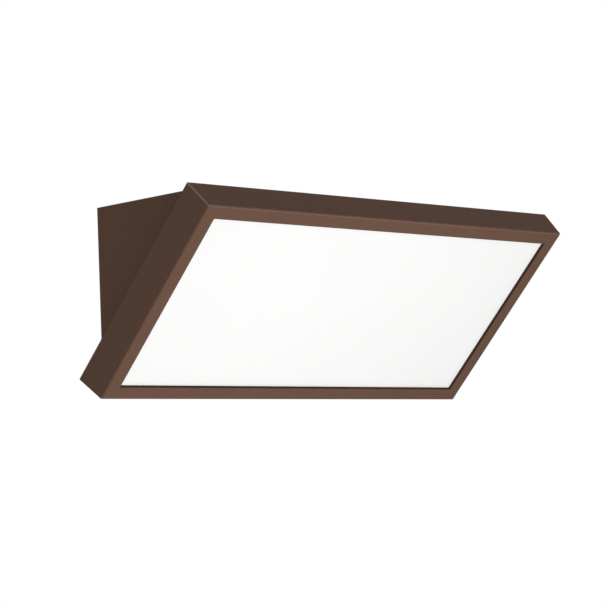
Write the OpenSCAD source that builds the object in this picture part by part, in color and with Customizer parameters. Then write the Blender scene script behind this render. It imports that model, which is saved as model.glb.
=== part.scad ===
// Outdoor wall light with a leaning front panel and a wedge-shaped body, in millimetres.
// The wall is the plane Y = 0 and the lamp stands out towards -Y. X runs along the lamp, Z is up.
// The origin lies on the wall, midway between the two wall screws.

/* [Front face] */
// Length of the front face
face_l = 280; // [270:1:340]
// Height of the front face, measured up its slope
face_h = 133; // [130:0.5:140]
// Depth of the front frame, square to the face
frame_t = 19.5; // [19:0.5:24]
// Lean of the front face from the vertical, in degrees
tilt = 45; // [42:0.5:48]
// Width of the frame's border around the diffuser
border = 8.5; // [8:0.5:12]
// How far the frame's back rim stands out past its front edge, at the sides and at the foot
flare = 2.6; // [1.5:0.1:4]
// Thickness of the frame's side walls
frame_wall = 2.2; // [1.8:0.1:2.4]
// Thickness of the frame's front border
lip_t = 2.4; // [2:0.1:3]
// Bevel along the frame's front edges
edge_bevel = 0.6; // [0.3:0.1:1]

/* [Diffuser] */
// How far the diffuser sits behind the front of the border
diffuser_recess = 2; // [1.6:0.1:2.3]
// Thickness of the diffuser's rim, behind the border
rim_t = 2.2; // [2:0.1:3]
// Gap between the raised middle of the diffuser and the border
diffuser_gap = 0.4; // [0.3:0.05:0.6]
// Thickness of the seal behind the diffuser
gasket_t = 1.4; // [1:0.1:2]

/* [Wedge body] */
// Height of the wedge's upright back wall
wedge_h = 75.5; // [75:0.5:80]
// Distance from the frame's back top edge down the slope to the wedge's top
top_step = 5; // [5:0.1:7]
// Wall thickness of the wedge
shell_t = 2.5; // [2:0.1:3]
// How far each cheek of the wedge is set in from the ends of the front face
cheek_inset = 0.5; // [0.4:0.1:3]
// Thickness of the plate that closes the back of the panel
web_t = 2.5; // [2:0.1:3]

/* [Light source] */
// Rows of light-emitting diodes
led_rows = 4; // [2:1:5]
// Diodes in each row
led_columns = 14; // [8:1:16]
// Distance from the ends of the front face to the ends of the circuit board
board_in_l = 20; // [17:0.5:30]
// Distance from the upper and lower edges of the front face to the circuit board
board_in_h = 17.5; // [16:0.5:22]

/* [Driver] */
// Length of the driver's case
driver_l = 120; // [100:1:124]
// Height of the driver's case
driver_w = 36; // [30:1:38]
// Depth of the driver's case
driver_d = 22; // [18:0.5:24]

/* [Mounting] */
// Distance between the wall and the wedge's back wall
standoff = 24; // [23:0.5:30]
// Length of the mounting base
base_l = 190; // [186:1:210]
// Height of the mounting base
base_h = 55; // [54:0.5:58]
// Wall thickness of the mounting base
base_wall = 3; // [2.6:0.1:3.4]
// Thickness of the foam seal against the wall
foam_t = 2; // [1.5:0.1:3]
// Thickness of the bracket's steel
bracket_t = 1.5; // [1.2:0.1:2]
// Distance between the two wall screws
slot_pitch = 120; // [100:1:126]
// Length of each wall slot, end to end
slot_l = 12; // [8:0.5:16]
// Width of each wall slot
slot_w = 5.2; // [4.5:0.1:6]
// Bore of the bush in the bracket's cable hole
bush_bore = 16; // [12:0.5:17]
// Largest cable that the gland's seal takes
gland_cable = 6.8; // [5:0.1:7]

/* [Hidden] */
$fn = 40;

// Colours
coat = [0.36, 0.26, 0.22];
opal = [0.97, 0.97, 0.96];
white_plastic = [0.93, 0.93, 0.92];
zinc = [0.72, 0.73, 0.75];
steel = [0.6, 0.61, 0.63];
aluminium = [0.8, 0.81, 0.82];
black_rubber = [0.13, 0.13, 0.13];
grey_rubber = [0.45, 0.45, 0.46];

// Fits
cut = 1; // how far a cutting tool runs past the surface it cuts
past = 400; // longer than any piece, for cuts that go right through
fit_gap = 0.4; // between two castings that slide together
thread_gap = 0.05; // between a screw and its hole, or a turning nut and its thread
seal_gap = 0.1; // between a lead and its hole
tip_room = 0.5; // between a screw's tip and the end of its hole
skim = 0.01; // where a cutting tool must end just past a face

// Screws: radius of the shank and of the head, height of the head
m3 = [1.5, 2.75, 1.9];
m4 = [1.95, 3.7, 2.4];
clear_hole = 0.25; // extra radius of a clearance hole

// The slope frame: x along the lamp, u up the face, w out of the face.
// Its zero is the middle of the front face.
wedge_d = wedge_h * tan(tilt);
u_wedge_top = face_h / 2 - top_step;
face_y = -standoff - wedge_d + u_wedge_top * sin(tilt) - frame_t * cos(tilt);
face_z = wedge_h / 2 - u_wedge_top * cos(tilt) - frame_t * sin(tilt);
function to_world(x, u, w) = [
    x,
    face_y - u * sin(tilt) - w * cos(tilt),
    face_z + u * cos(tilt) - w * sin(tilt)
];
function y_at(w, z) = face_y - (w + (z - face_z) * sin(tilt)) / cos(tilt);
function z_at(w, y) = face_z - (w + (y - face_y) * cos(tilt)) / sin(tilt);
function u_at(w, y) = (face_y - y - w * cos(tilt)) / sin(tilt);
module on_slope() {
    translate([0, face_y, face_z]) rotate([90 + tilt, 0, 0]) children();
}

// The front frame's outline at a depth w: the sides and the foot flare, the top does not
function side_at(w) = face_l / 2 - flare * w / frame_t;
function foot_at(w) = -face_h / 2 + flare * w / frame_t;
face_top = face_h / 2;

// Levels behind the front of the border, all negative
w_rim = -lip_t;
w_diffuser_back = w_rim - rim_t;
w_gasket_back = w_diffuser_back - gasket_t;
weld = 0.2; // how far the wedge runs into the plate that it is cast onto
web_recess = 2; // the housing's plate lies this far inside the frame's back rim
w_web_back = -frame_t + web_recess;
w_web = w_web_back + web_t;
heat_plate_t = 2;
w_heat_plate = w_web + heat_plate_t;
board_t = 1.6;
w_board = w_heat_plate + board_t;
led_t = 0.9;

// Distances in from the edges of the front face
gasket_in = border - 0.2;
gasket_out = border - 2.4;
tub_wall = 2.5;
tub_in = border;
tub_out = border - tub_wall;
screw_boss_r = 2.4;
screw_boss_in = 3;
screw_web_t = 1.6;
screw_boss_end = 14; // from the ends of the front face to the outer bosses
screw_boss_step = (face_l - 2 * screw_boss_end) / 3;
screw_boss_x = [for (i = [-1.5:1:1.5]) i * screw_boss_step];
frame_screw_l = 8;

// Catches that hook the top of the frame onto the tub
catch_l = 16;
catch_t = 2;
catch_reach = 2.2;
catch_gap = 0.2;
catch_w = w_gasket_back - 1.6;
catch_end = 30; // from the ends of the front face to the outer catches
catch_x = [for (i = [-1.5:1:1.5]) i * (face_l - 2 * catch_end) / 3];

// Wedge body
wedge_half = face_l / 2 - cheek_inset;
back_y = -standoff;
ledge = 6; // width of the ledge that carries the heat plate
window_foot = u_at(w_web_back, back_y - shell_t) + 1;
plate_gap = 0.5;
plate_half_l = face_l / 2 - tub_in - plate_gap;
plate_half_h = face_h / 2 - tub_in - plate_gap;
plate_boss_r = 3;
plate_boss_l = 3.5;
plate_screw_x = face_l / 2 - tub_in - ledge / 2;
plate_screw_u = [-36, 3, 42];
plate_screw_l = 6;
plate_screw_at = [for (side = [-1, 1], u = plate_screw_u) [side * plate_screw_x, u]];

// Circuit board
board_l = face_l - 2 * board_in_l;
board_h = face_h - 2 * board_in_h;
board_half_l = board_l / 2;
board_half_h = board_h / 2;
led_margin_l = 21; // from the outer diodes to the board's ends
led_margin_h = 13;
led_field_l = board_l - 2 * led_margin_l;
led_field_h = board_h - 2 * led_margin_h;
led_l = 3.5;
led_h = 2.8;
led_hole_gap = 0.6;
led_at = [
    for (row = [0:led_rows - 1], column = [0:led_columns - 1])
        [led_field_l * (column / (led_columns - 1) - 0.5), led_field_h * (row / (led_rows - 1) - 0.5)]
];
board_screw_in = [8, 6]; // from the board's edges, along its length and height
board_screw_at = [
    for (side = [-1, 0, 1], end = [-1, 1])
        [side * (board_half_l - board_screw_in[0]), end * (board_half_h - board_screw_in[1])]
];
board_screw_l = board_t + heat_plate_t - 0.2;
connector_l = 7;
connector_h = 8;
connector_t = 3;
connector_in = 9; // from the board's right end
connector_x = board_half_l - connector_in;
connector_u = -6;
connector_pitch = 1.6; // half the distance between the connector's two ways
lead_hole_step = 6; // from the connector
lead_hole_u = connector_u + connector_h / 2 + lead_hole_step;
lead_hole_r = 2.8;

// Reflector
reflector_t = 1;
reflector_gap = 0.3;
w_reflector_rim = w_diffuser_back - reflector_gap;
reflector_half_l = plate_half_l - 0.5;
reflector_half_h = plate_half_h - 0.5;
reflector_slope = 9; // how much the tray narrows from its rim to its floor, on each side
function reflector_in(w) = reflector_slope * (w_reflector_rim - w) / (w_reflector_rim - w_board);

// Driver, hung on two bosses inside the wedge's back wall
driver_gap = 2;
driver_boss_h = 3;
driver_boss_r = 3.5;
driver_z = wedge_h / 2 - shell_t - driver_gap - driver_w / 2;
driver_back_y = back_y - shell_t - driver_boss_h;
driver_wall = 1.6;
driver_lug = 14;
driver_lug_t = 2;
driver_screw_x = driver_l / 2 + driver_lug / 2;
driver_screw_l = 6;
driver_hole_y = driver_back_y - driver_d / 2;
driver_lead_pitch = 2.8;
cover_skirt = 2.5;
cover_skirt_t = 1.2;
cover_gap = 0.15;
pcb_t = 1.6;
pcb_gap = 0.4;
pcb_foot = 1.5;
pcb_y = driver_back_y - driver_wall - pcb_foot; // back of the driver's circuit board
pcb_l = driver_l - 2 * (driver_wall + pcb_gap);
pcb_w = driver_w - 2 * (driver_wall + pcb_gap);
solder = 0.5; // how far parts sink into the board they sit on
pcb_foot_r = 2;
pcb_foot_in = 5;
// On the driver's board, from its middle: x and z, then the size of a box or the radius and height of a can
transformer = [1, 0, [22, 12, 20]];
transistor_x = 39;
transistor_step = 4;
transistor_z = -7;
transistors = [for (side = [-1, 1]) [transistor_x + side * transistor_step, transistor_z, [4, 9, 8]]];
cans = [[24, 6, 5, 12.5], [-26, -8, 4, 11], [-36, 5, 5.5, 8]];

// Mounting base
base_front_y = back_y;
base_web_t = 2.5;
base_web_y = back_y + base_web_t; // wall side of the base's front plate
base_back_y = -foam_t;
base_half_l = base_l / 2;
base_half_h = base_h / 2;
base_corner_r = 5;
inner_half_h = base_half_h - base_wall;
inner_half_l = base_half_l - base_wall;
base_screw_in = [6, 7]; // from the base's inner walls, along its length and height
base_screw_at = [
    for (side = [-1, 1], end = [-1, 1])
        [side * (inner_half_l - base_screw_in[0]), end * (inner_half_h - base_screw_in[1])]
];
base_screw_l = 9;
base_boss_r = 4;
base_boss_l = 6;

// Bracket
bracket_gap = 0.5; // between the bracket's tabs and the base's walls
bracket_half_h = inner_half_h - bracket_gap;
bracket_in = 8; // from the base's end walls
bracket_half_l = inner_half_l - bracket_in;
tab_l = 30;
tab_reach = 12;
tab_in = 6; // from the bracket's ends
tab_x = bracket_half_l - tab_in - tab_l / 2;
bush_wall = 2.5;
bush_neck_r = bush_bore / 2 + bush_wall;
bush_flange_r = bush_neck_r + 2;
bush_flange_t = 2;

// Grub screws through the base's bottom wall, against the bracket's lower tabs
grub_r = 2;
grub_l = 4.2;
grub_y = -tab_reach / 2 - 1;
grub_tip_gap = 0.1;
grub_top_z = -bracket_half_h - grub_tip_gap;
grub_key_r = 1.15;
grub_key_depth = 1.8;

// Terminal block on the base's front plate
terminal_x = -42;
pole_pitch = 6.4;
terminal_l = 3 * pole_pitch + 2;
terminal_half_h = 13;
terminal_d = 8.5;
terminal_front_y = base_web_y + terminal_d;
lever_w = 4.2;
lever_t = 2.2;
lever_l = 11;
lever_pivot_r = 1.1;
lever_pin_r = 0.7;
lever_pin_l = 0.8;
lever_bed_gap = 0.3;
lever_y = terminal_front_y - lever_pivot_r - 0.7;
lever_z = 1;
pole_x = [terminal_x - pole_pitch, terminal_x, terminal_x + pole_pitch];
wire_mouth_r = 1.6;
wire_mouth_depth = 9;
wire_mouth_y = base_web_y + 3;
funnel_l = 3;
funnel_r = 2.2;
contact_w = 3.6;
contact_foot_z = -terminal_half_h + wire_mouth_depth + 0.1;
contact_cover = 7; // from the top of the block
contact_top_z = terminal_half_h - contact_cover;

// Seal where the leads pass from the base into the wedge
grommet_x = -driver_l / 2 - driver_lug + driver_wall - 3.6;
grommet_z = 8;
grommet_r = 6;
grommet_flange_r = 7.5;
grommet_flange_t = 1.5;
lead_r = 1.15;
led_lead_r = 0.8;

// Vent in the wedge's back wall
vent_in = 22; // from the wedge's right cheek
vent_x = wedge_half - vent_in;
vent_z = 16;
vent_stem_r = 4;
vent_cap_r = 7;
vent_cap_t = 3.2;
vent_stem_l = 4; // how far the stem reaches past the wedge's back wall
vent_groove_w = 1.6;
vent_groove_d = 0.6;

// Earth screw on the base's front plate
earth_x = -12;
earth_z = 13;

// Gland in the base's right wall
gland_y = (base_front_y + base_back_y) / 2;
gland_flats = 15;
gland_stem_r = 5.9;
gland_thread_r = 6.3;
gland_bore_r = 4.3;
gland_collar_t = 4;
gland_thread_l = 6.5;
gland_seal_l = 9;
gland_nut_l = 10.5;
gland_lip_t = 1.5;
gland_locknut_t = 3;
gland_seat = 2; // depth of the seal's seat past the wall
gland_stem_l = base_wall + gland_locknut_t + 2;
gland_stem_bore_r = gland_bore_r - 0.4;
gland_nut_gap = 0.3;
gland_x = base_half_l;

// Block between two depths, with its own limits along x and u at each depth
module taper_block(x0, foot0, top0, w0, x1, foot1, top1, w1) {
    intersection() {
        rotate([90, 0, 0]) linear_extrude(height = 2 * past, center = true)
            polygon([[-x0, w0], [x0, w0], [x1, w1], [-x1, w1]]);
        rotate([90, 0, 90]) linear_extrude(height = 2 * past, center = true)
            polygon([[foot0, w0], [top0, w0], [top1, w1], [foot1, w1]]);
    }
}
// Plate between two depths, set in from the edges of the front face
module face_plate(inset, w_front, w_back) {
    translate([-face_l / 2 + inset, -face_h / 2 + inset, w_back])
        cube([face_l - 2 * inset, face_h - 2 * inset, w_front - w_back]);
}
module face_ring(outset, inset, w_front, w_back) {
    difference() {
        face_plate(outset, w_front, w_back);
        face_plate(inset, w_front + cut, w_back - cut);
    }
}
// Screw along -Z: the underside of its head lies at z = 0
module pan_screw(size, length) {
    difference() {
        union() {
            cylinder(r = size[1], h = size[2]);
            translate([0, 0, -length]) cylinder(r = size[0], h = length + size[2] / 2);
        }
        for (turn = [0, 90])
            rotate([0, 0, turn]) translate([-size[1] * 0.6, -size[0] * 0.25, size[2] / 2])
                cube([size[1] * 1.2, size[0] * 0.5, size[2]]);
    }
}
module slot(length, r, depth) {
    for (side = [-1, 1]) translate([side * (length / 2 - r), 0, 0]) cylinder(r = r, h = depth, center = true);
    cube([length - 2 * r, 2 * r, depth], center = true);
}
// Block along Y with four round corners
module rounded_block(half_l, half_h, r, y_from, y_to) {
    for (side = [-1, 1], end = [-1, 1])
        translate([side * (half_l - r), y_from, end * (half_h - r)])
            rotate([-90, 0, 0]) cylinder(r = r, h = y_to - y_from);
    translate([-half_l + r, y_from, -half_h]) cube([2 * half_l - 2 * r, y_to - y_from, 2 * half_h]);
    translate([-half_l, y_from, -half_h + r]) cube([2 * half_l, y_to - y_from, 2 * half_h - 2 * r]);
}
module hex_bar(flats, length) {
    cylinder(r = flats / 2 / cos(30), h = length, $fn = 6);
}
// Hole or rod along Y, from y_from to y_to
module along_y(r, x, z, y_from, y_to) {
    translate([x, y_from, z]) rotate([-90, 0, 0]) cylinder(r = r, h = y_to - y_from);
}
// Smooth lead through a list of points
function unit(v) = v / norm(v);
function spline(a, b, c, d, t) =
    0.5 * (2 * b + (c - a) * t + (2 * a - 5 * b + 4 * c - d) * t * t + (3 * b - a - 3 * c + d) * t * t * t);
lead_steps = 4;
function smooth(points) = [
    for (i = [0:len(points) - 2], s = [0:lead_steps - 1])
        spline(points[max(i - 1, 0)], points[i], points[i + 1], points[min(i + 2, len(points) - 1)],
            s / lead_steps),
    points[len(points) - 1]
];
lead_sides = 8;
module lead(points, r, reference) {
    route = smooth(points);
    last = len(route) - 1;
    rings = [
        for (i = [0:last])
            let (
                along = unit(route[min(i + 1, last)] - route[max(i - 1, 0)]),
                side = unit(cross(along, reference)),
                rise = cross(side, along)
            )
            for (k = [0:lead_sides - 1])
                route[i] + r * (cos(k * 360 / lead_sides) * side + sin(k * 360 / lead_sides) * rise)
    ];
    walls = [
        for (i = [0:last - 1], k = [0:lead_sides - 1])
            let (next = (k + 1) % lead_sides, a = i * lead_sides, b = a + lead_sides)
                [a + k, a + next, b + next, b + k]
    ];
    first_cap = [for (k = [lead_sides - 1:-1:0]) k];
    last_cap = [for (k = [0:lead_sides - 1]) last * lead_sides + k];
    polyhedron(rings, concat([first_cap], walls, [last_cap]));
}

// Pieces on the wall
module wall_bracket() {
    color(zinc) difference() {
        union() {
            translate([-bracket_half_l, -bracket_t, -bracket_half_h])
                cube([2 * bracket_half_l, bracket_t, 2 * bracket_half_h]);
            for (side = [-1, 1], end = [-1, 1])
                translate([
                    side * tab_x - tab_l / 2,
                    -tab_reach,
                    end > 0 ? bracket_half_h - bracket_t : -bracket_half_h
                ])
                    cube([tab_l, tab_reach, bracket_t]);
        }
        for (side = [-1, 1])
            translate([side * slot_pitch / 2, 0, 0]) rotate([90, 0, 0])
                slot(slot_l, slot_w / 2, 4 * bracket_t);
        along_y(bush_neck_r + thread_gap, 0, 0, -bracket_t - cut, cut);
    }
}
module cable_bush() {
    color(black_rubber) difference() {
        union() {
            along_y(bush_neck_r, 0, 0, -bracket_t, 0);
            along_y(bush_flange_r, 0, 0, -bracket_t - bush_flange_t, -bracket_t);
        }
        along_y(bush_bore / 2, 0, 0, -bracket_t - bush_flange_t - cut, cut);
    }
}

// Front frame and diffuser
module frame_block() {
    taper_block(
        face_l / 2 - edge_bevel, -face_h / 2 + edge_bevel, face_top - edge_bevel, 0,
        side_at(-edge_bevel), foot_at(-edge_bevel), face_top, -edge_bevel
    );
    taper_block(
        side_at(-edge_bevel), foot_at(-edge_bevel), face_top, -edge_bevel,
        side_at(-frame_t), foot_at(-frame_t), face_top, -frame_t
    );
}
module frame_hollow() {
    taper_block(
        side_at(w_rim) - frame_wall, foot_at(w_rim) + frame_wall, face_top - frame_wall, w_rim,
        side_at(-frame_t - cut) - frame_wall, foot_at(-frame_t - cut) + frame_wall, face_top - frame_wall,
        -frame_t - cut
    );
}
module front_frame() {
    boss_u = -face_h / 2 + screw_boss_in;
    boss_l = w_rim - w_web;
    color(coat) on_slope() difference() {
        union() {
            difference() {
                frame_block();
                frame_hollow();
                face_plate(border, cut, -frame_t);
            }
            intersection() {
                frame_block();
                union() {
                    for (x = screw_boss_x) {
                        translate([x, boss_u, w_web]) cylinder(r = screw_boss_r, h = boss_l);
                        // Web that ties the boss to the flaring foot wall
                        translate([x - screw_web_t / 2, foot_at(w_web) + frame_wall / 2, w_web])
                            cube([screw_web_t, boss_u - foot_at(w_web) - frame_wall / 2, boss_l]);
                    }
                    for (x = catch_x)
                        translate([
                            x - catch_l / 2,
                            face_top - frame_wall - catch_reach,
                            catch_w - 2 * catch_t - catch_gap
                        ])
                            cube([catch_l, catch_reach + frame_wall / 2, catch_t]);
                }
            }
        }
        for (x = screw_boss_x)
            translate([x, boss_u, w_web - cut])
                cylinder(r = m3[0] + thread_gap, h = frame_screw_l - web_t + tip_room + cut);
    }
}
module diffuser() {
    color(opal) on_slope() {
        face_plate(border + diffuser_gap, -diffuser_recess, w_diffuser_back);
        face_ring(gasket_out, border + diffuser_gap, w_rim, w_diffuser_back);
    }
}
module lens_gasket() {
    color(grey_rubber) on_slope() face_ring(gasket_out, gasket_in, w_diffuser_back, w_gasket_back);
}
module frame_screws() {
    color(steel) on_slope() for (x = screw_boss_x)
        translate([x, -face_h / 2 + screw_boss_in, w_web_back]) rotate([180, 0, 0])
            pan_screw([m3[0], m3[1], web_recess - 2 * seal_gap], frame_screw_l);
}

// Light source
module reflector_block(inset, w_front, w_back) {
    front_half_h = reflector_half_h - reflector_in(w_front) - inset;
    back_half_h = reflector_half_h - reflector_in(w_back) - inset;
    taper_block(
        reflector_half_l - reflector_in(w_front) - inset, -front_half_h, front_half_h, w_front,
        reflector_half_l - reflector_in(w_back) - inset, -back_half_h, back_half_h, w_back
    );
}
module reflector() {
    color(white_plastic) on_slope() difference() {
        reflector_block(0, w_reflector_rim, w_board);
        reflector_block(reflector_t, w_reflector_rim + cut, w_board + reflector_t);
        for (at = led_at)
            translate([at[0], at[1], w_board])
                cube([led_l + 2 * led_hole_gap, led_h + 2 * led_hole_gap, 4 * reflector_t], center = true);
        for (at = board_screw_at)
            translate([at[0], at[1], w_board - cut]) cylinder(r = m3[1] + led_hole_gap, h = 4 * reflector_t);
        translate([connector_x - connector_l, connector_u - connector_h, w_board - cut])
            cube([
                2 * connector_l,
                lead_hole_u - connector_u + connector_h + 2 * lead_hole_r,
                4 * reflector_t
            ]);
    }
}
module led_board() {
    color(white_plastic) on_slope() difference() {
        translate([-board_half_l, -board_half_h, w_heat_plate]) cube([board_l, board_h, board_t]);
        for (at = board_screw_at)
            translate([at[0], at[1], w_heat_plate - cut])
                cylinder(r = m3[0] + clear_hole, h = board_t + 2 * cut);
        translate([connector_x, lead_hole_u, w_heat_plate - cut])
            cylinder(r = lead_hole_r, h = board_t + 2 * cut);
    }
}
module leds() {
    color([0.96, 0.9, 0.62]) on_slope() for (at = led_at)
        translate([at[0] - led_l / 2, at[1] - led_h / 2, w_board]) cube([led_l, led_h, led_t]);
}
module board_connector() {
    color(white_plastic) on_slope() difference() {
        translate([connector_x - connector_l / 2, connector_u - connector_h / 2, w_board])
            cube([connector_l, connector_h, connector_t]);
        for (side = [-1, 1])
            translate([connector_x + side * connector_pitch, connector_u, w_board + connector_t / 2])
                rotate([-90, 0, 0]) cylinder(r = led_lead_r + seal_gap, h = connector_h);
    }
}
module board_screws() {
    color(steel) on_slope() for (at = board_screw_at)
        translate([at[0], at[1], w_board]) pan_screw(m3, board_screw_l);
}
module heat_plate() {
    color(aluminium) on_slope() difference() {
        translate([-plate_half_l, -plate_half_h, w_web])
            cube([2 * plate_half_l, 2 * plate_half_h, heat_plate_t]);
        for (at = plate_screw_at)
            translate([at[0], at[1], w_web - cut])
                cylinder(r = m3[0] + clear_hole, h = heat_plate_t + 2 * cut);
        for (at = board_screw_at)
            translate([at[0], at[1], w_web - cut])
                cylinder(r = m3[0] + thread_gap, h = heat_plate_t + 2 * cut);
        translate([connector_x, lead_hole_u, w_web - cut])
            cylinder(r = lead_hole_r, h = heat_plate_t + 2 * cut);
    }
}
module plate_screws() {
    color(steel) on_slope() for (at = plate_screw_at)
        translate([at[0], at[1], w_heat_plate]) pan_screw(m3, plate_screw_l);
}

// Tub and wedge, cast in one piece
module wedge_prism(half_l, back, top, w_front) {
    rotate([90, 0, 90]) linear_extrude(height = 2 * half_l, center = true)
        polygon([[back, top], [y_at(w_front, top), top], [back, z_at(w_front, back)]]);
}
module rear_housing() {
    plate_foot = foot_at(w_web_back) + frame_wall + fit_gap;
    plate_side = side_at(w_web) - frame_wall - fit_gap;
    color(coat) difference() {
        union() {
            on_slope() {
                face_ring(tub_out, tub_in, w_gasket_back, w_web_back);
                translate([-plate_side, plate_foot, w_web_back])
                    cube([2 * plate_side, face_top - frame_wall - fit_gap - plate_foot, web_t]);
                for (x = catch_x)
                    translate([x - catch_l / 2, face_h / 2 - tub_out - tub_wall / 2, catch_w - catch_t])
                        cube([catch_l, catch_reach + tub_wall / 2, catch_t]);
            }
            difference() {
                wedge_prism(wedge_half, back_y, wedge_h / 2, w_web_back + weld);
                wedge_prism(
                    wedge_half - shell_t, back_y - shell_t, wedge_h / 2 - shell_t, w_web_back + cut
                );
            }
            intersection() {
                wedge_prism(wedge_half, back_y, wedge_h / 2, w_web_back + weld);
                union() {
                    on_slope() for (at = plate_screw_at)
                        translate([at[0], at[1], w_web_back - plate_boss_l])
                            cylinder(r = plate_boss_r, h = plate_boss_l + web_t / 2);
                    for (side = [-1, 1])
                        along_y(
                            driver_boss_r, side * driver_screw_x, driver_z,
                            driver_back_y, back_y - shell_t / 2
                        );
                    for (at = base_screw_at)
                        along_y(
                            base_boss_r, at[0], at[1], back_y - shell_t - base_boss_l, back_y - shell_t / 2
                        );
                }
            }
        }
        // Window from the tub into the wedge
        on_slope() translate([-plate_half_l + ledge, window_foot, w_web_back - cut])
            cube([
                2 * (plate_half_l - ledge),
                face_h / 2 - tub_in - ledge - window_foot,
                web_t + 2 * cut
            ]);
        on_slope() for (at = plate_screw_at)
            translate([at[0], at[1], w_web_back - plate_boss_l - cut])
                cylinder(r = m3[0] + thread_gap, h = plate_boss_l + web_t + 2 * cut);
        on_slope() for (x = screw_boss_x)
            translate([x, -face_h / 2 + screw_boss_in, w_web_back - cut])
                cylinder(r = m3[0] + clear_hole, h = web_t + 2 * cut);
        for (side = [-1, 1])
            along_y(
                m3[0] + thread_gap, side * driver_screw_x, driver_z,
                driver_back_y - cut, driver_back_y + driver_screw_l - driver_lug_t + seal_gap
            );
        for (at = base_screw_at)
            along_y(m4[0] + thread_gap, at[0], at[1], base_web_y - base_screw_l - tip_room, back_y + cut);
        along_y(grommet_r + thread_gap, grommet_x, grommet_z, back_y - shell_t - cut, back_y + cut);
        along_y(vent_stem_r + thread_gap, vent_x, vent_z, back_y - shell_t - cut, back_y + cut);
    }
}
module vent_plug() {
    color(black_rubber) difference() {
        union() {
            along_y(vent_stem_r, vent_x, vent_z, back_y - shell_t - vent_stem_l, back_y);
            along_y(vent_cap_r, vent_x, vent_z, back_y, back_y + vent_cap_t);
        }
        // Crossed grooves for turning it in
        for (turn = [0, 90])
            translate([vent_x, back_y + vent_cap_t, vent_z]) rotate([0, turn, 0])
                cube([2 * vent_cap_r + cut, 2 * vent_groove_d, vent_groove_w], center = true);
    }
}

// Driver
module driver_case() {
    color([0.88, 0.88, 0.86]) difference() {
        union() {
            translate([-driver_l / 2, driver_back_y - driver_d, driver_z - driver_w / 2])
                cube([driver_l, driver_d, driver_w]);
            for (side = [-1, 1])
                translate([
                    side > 0 ? driver_l / 2 - driver_wall : -driver_l / 2 - driver_lug + driver_wall,
                    driver_back_y - driver_lug_t,
                    driver_z - driver_lug / 2
                ])
                    cube([driver_lug, driver_lug_t, driver_lug]);
        }
        translate([
            -driver_l / 2 + driver_wall,
            driver_back_y - driver_d - cut,
            driver_z - driver_w / 2 + driver_wall
        ])
            cube([driver_l - 2 * driver_wall, driver_d - driver_wall + cut, driver_w - 2 * driver_wall]);
        for (side = [-1, 1]) {
            along_y(
                m3[0] + clear_hole, side * driver_screw_x, driver_z,
                driver_back_y - driver_lug_t - cut, driver_back_y + cut
            );
            for (pole = [-1, 1])
                translate([side * driver_l / 2, driver_hole_y, driver_z + pole * driver_lead_pitch])
                    rotate([0, 90, 0])
                        cylinder(r = lead_r + seal_gap, h = 4 * driver_wall, center = true);
        }
    }
}
module driver_cover() {
    outer_y = driver_back_y - driver_d - driver_wall;
    skirt_in = driver_wall + cover_gap;
    color([0.88, 0.88, 0.86]) difference() {
        union() {
            translate([-driver_l / 2, outer_y, driver_z - driver_w / 2])
                cube([driver_l, driver_wall, driver_w]);
            translate([-driver_l / 2 + skirt_in, outer_y, driver_z - driver_w / 2 + skirt_in])
                cube([driver_l - 2 * skirt_in, driver_wall + cover_skirt, driver_w - 2 * skirt_in]);
        }
        translate([
            -driver_l / 2 + skirt_in + cover_skirt_t,
            outer_y + driver_wall,
            driver_z - driver_w / 2 + skirt_in + cover_skirt_t
        ])
            cube([
                driver_l - 2 * skirt_in - 2 * cover_skirt_t,
                cover_skirt + cut,
                driver_w - 2 * skirt_in - 2 * cover_skirt_t
            ]);
    }
}
module board_box(part) {
    size = part[2];
    translate([part[0] - size[0] / 2, pcb_y - pcb_t - size[1], driver_z + part[1] - size[2] / 2])
        cube([size[0], size[1] + solder, size[2]]);
}
module driver_board() {
    color([0.2, 0.42, 0.25]) union() {
        translate([-pcb_l / 2, pcb_y - pcb_t, driver_z - pcb_w / 2]) cube([pcb_l, pcb_t, pcb_w]);
        for (side = [-1, 1], end = [-1, 1])
            along_y(
                pcb_foot_r, side * (pcb_l / 2 - pcb_foot_in), driver_z + end * (pcb_w / 2 - pcb_foot_in),
                pcb_y - solder, pcb_y + pcb_foot
            );
        board_box(transformer);
        for (part = transistors) board_box(part);
        for (can = cans)
            along_y(can[2], can[0], driver_z + can[1], pcb_y - pcb_t - can[3], pcb_y - pcb_t + solder);
    }
}
module driver_screws() {
    color(steel) for (side = [-1, 1])
        translate([side * driver_screw_x, driver_back_y - driver_lug_t, driver_z]) rotate([90, 0, 0])
            pan_screw(m3, driver_screw_l);
}

// Leads
grommet_back_y = back_y - shell_t - grommet_flange_t;
grommet_mouth_y = base_web_y + grommet_flange_t;
grommet_pitch = 2.6;
lead_turn = 3; // how far a lead runs sideways while it bends
lead_end = 8; // straight run before the driver
low_run = [4.5, 3.5]; // the live lead's run: from the base's plate, and above the terminal block
high_run = [7, 6.5]; // the neutral lead's run, which passes over it
driver_end_x = -driver_l / 2;
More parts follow.
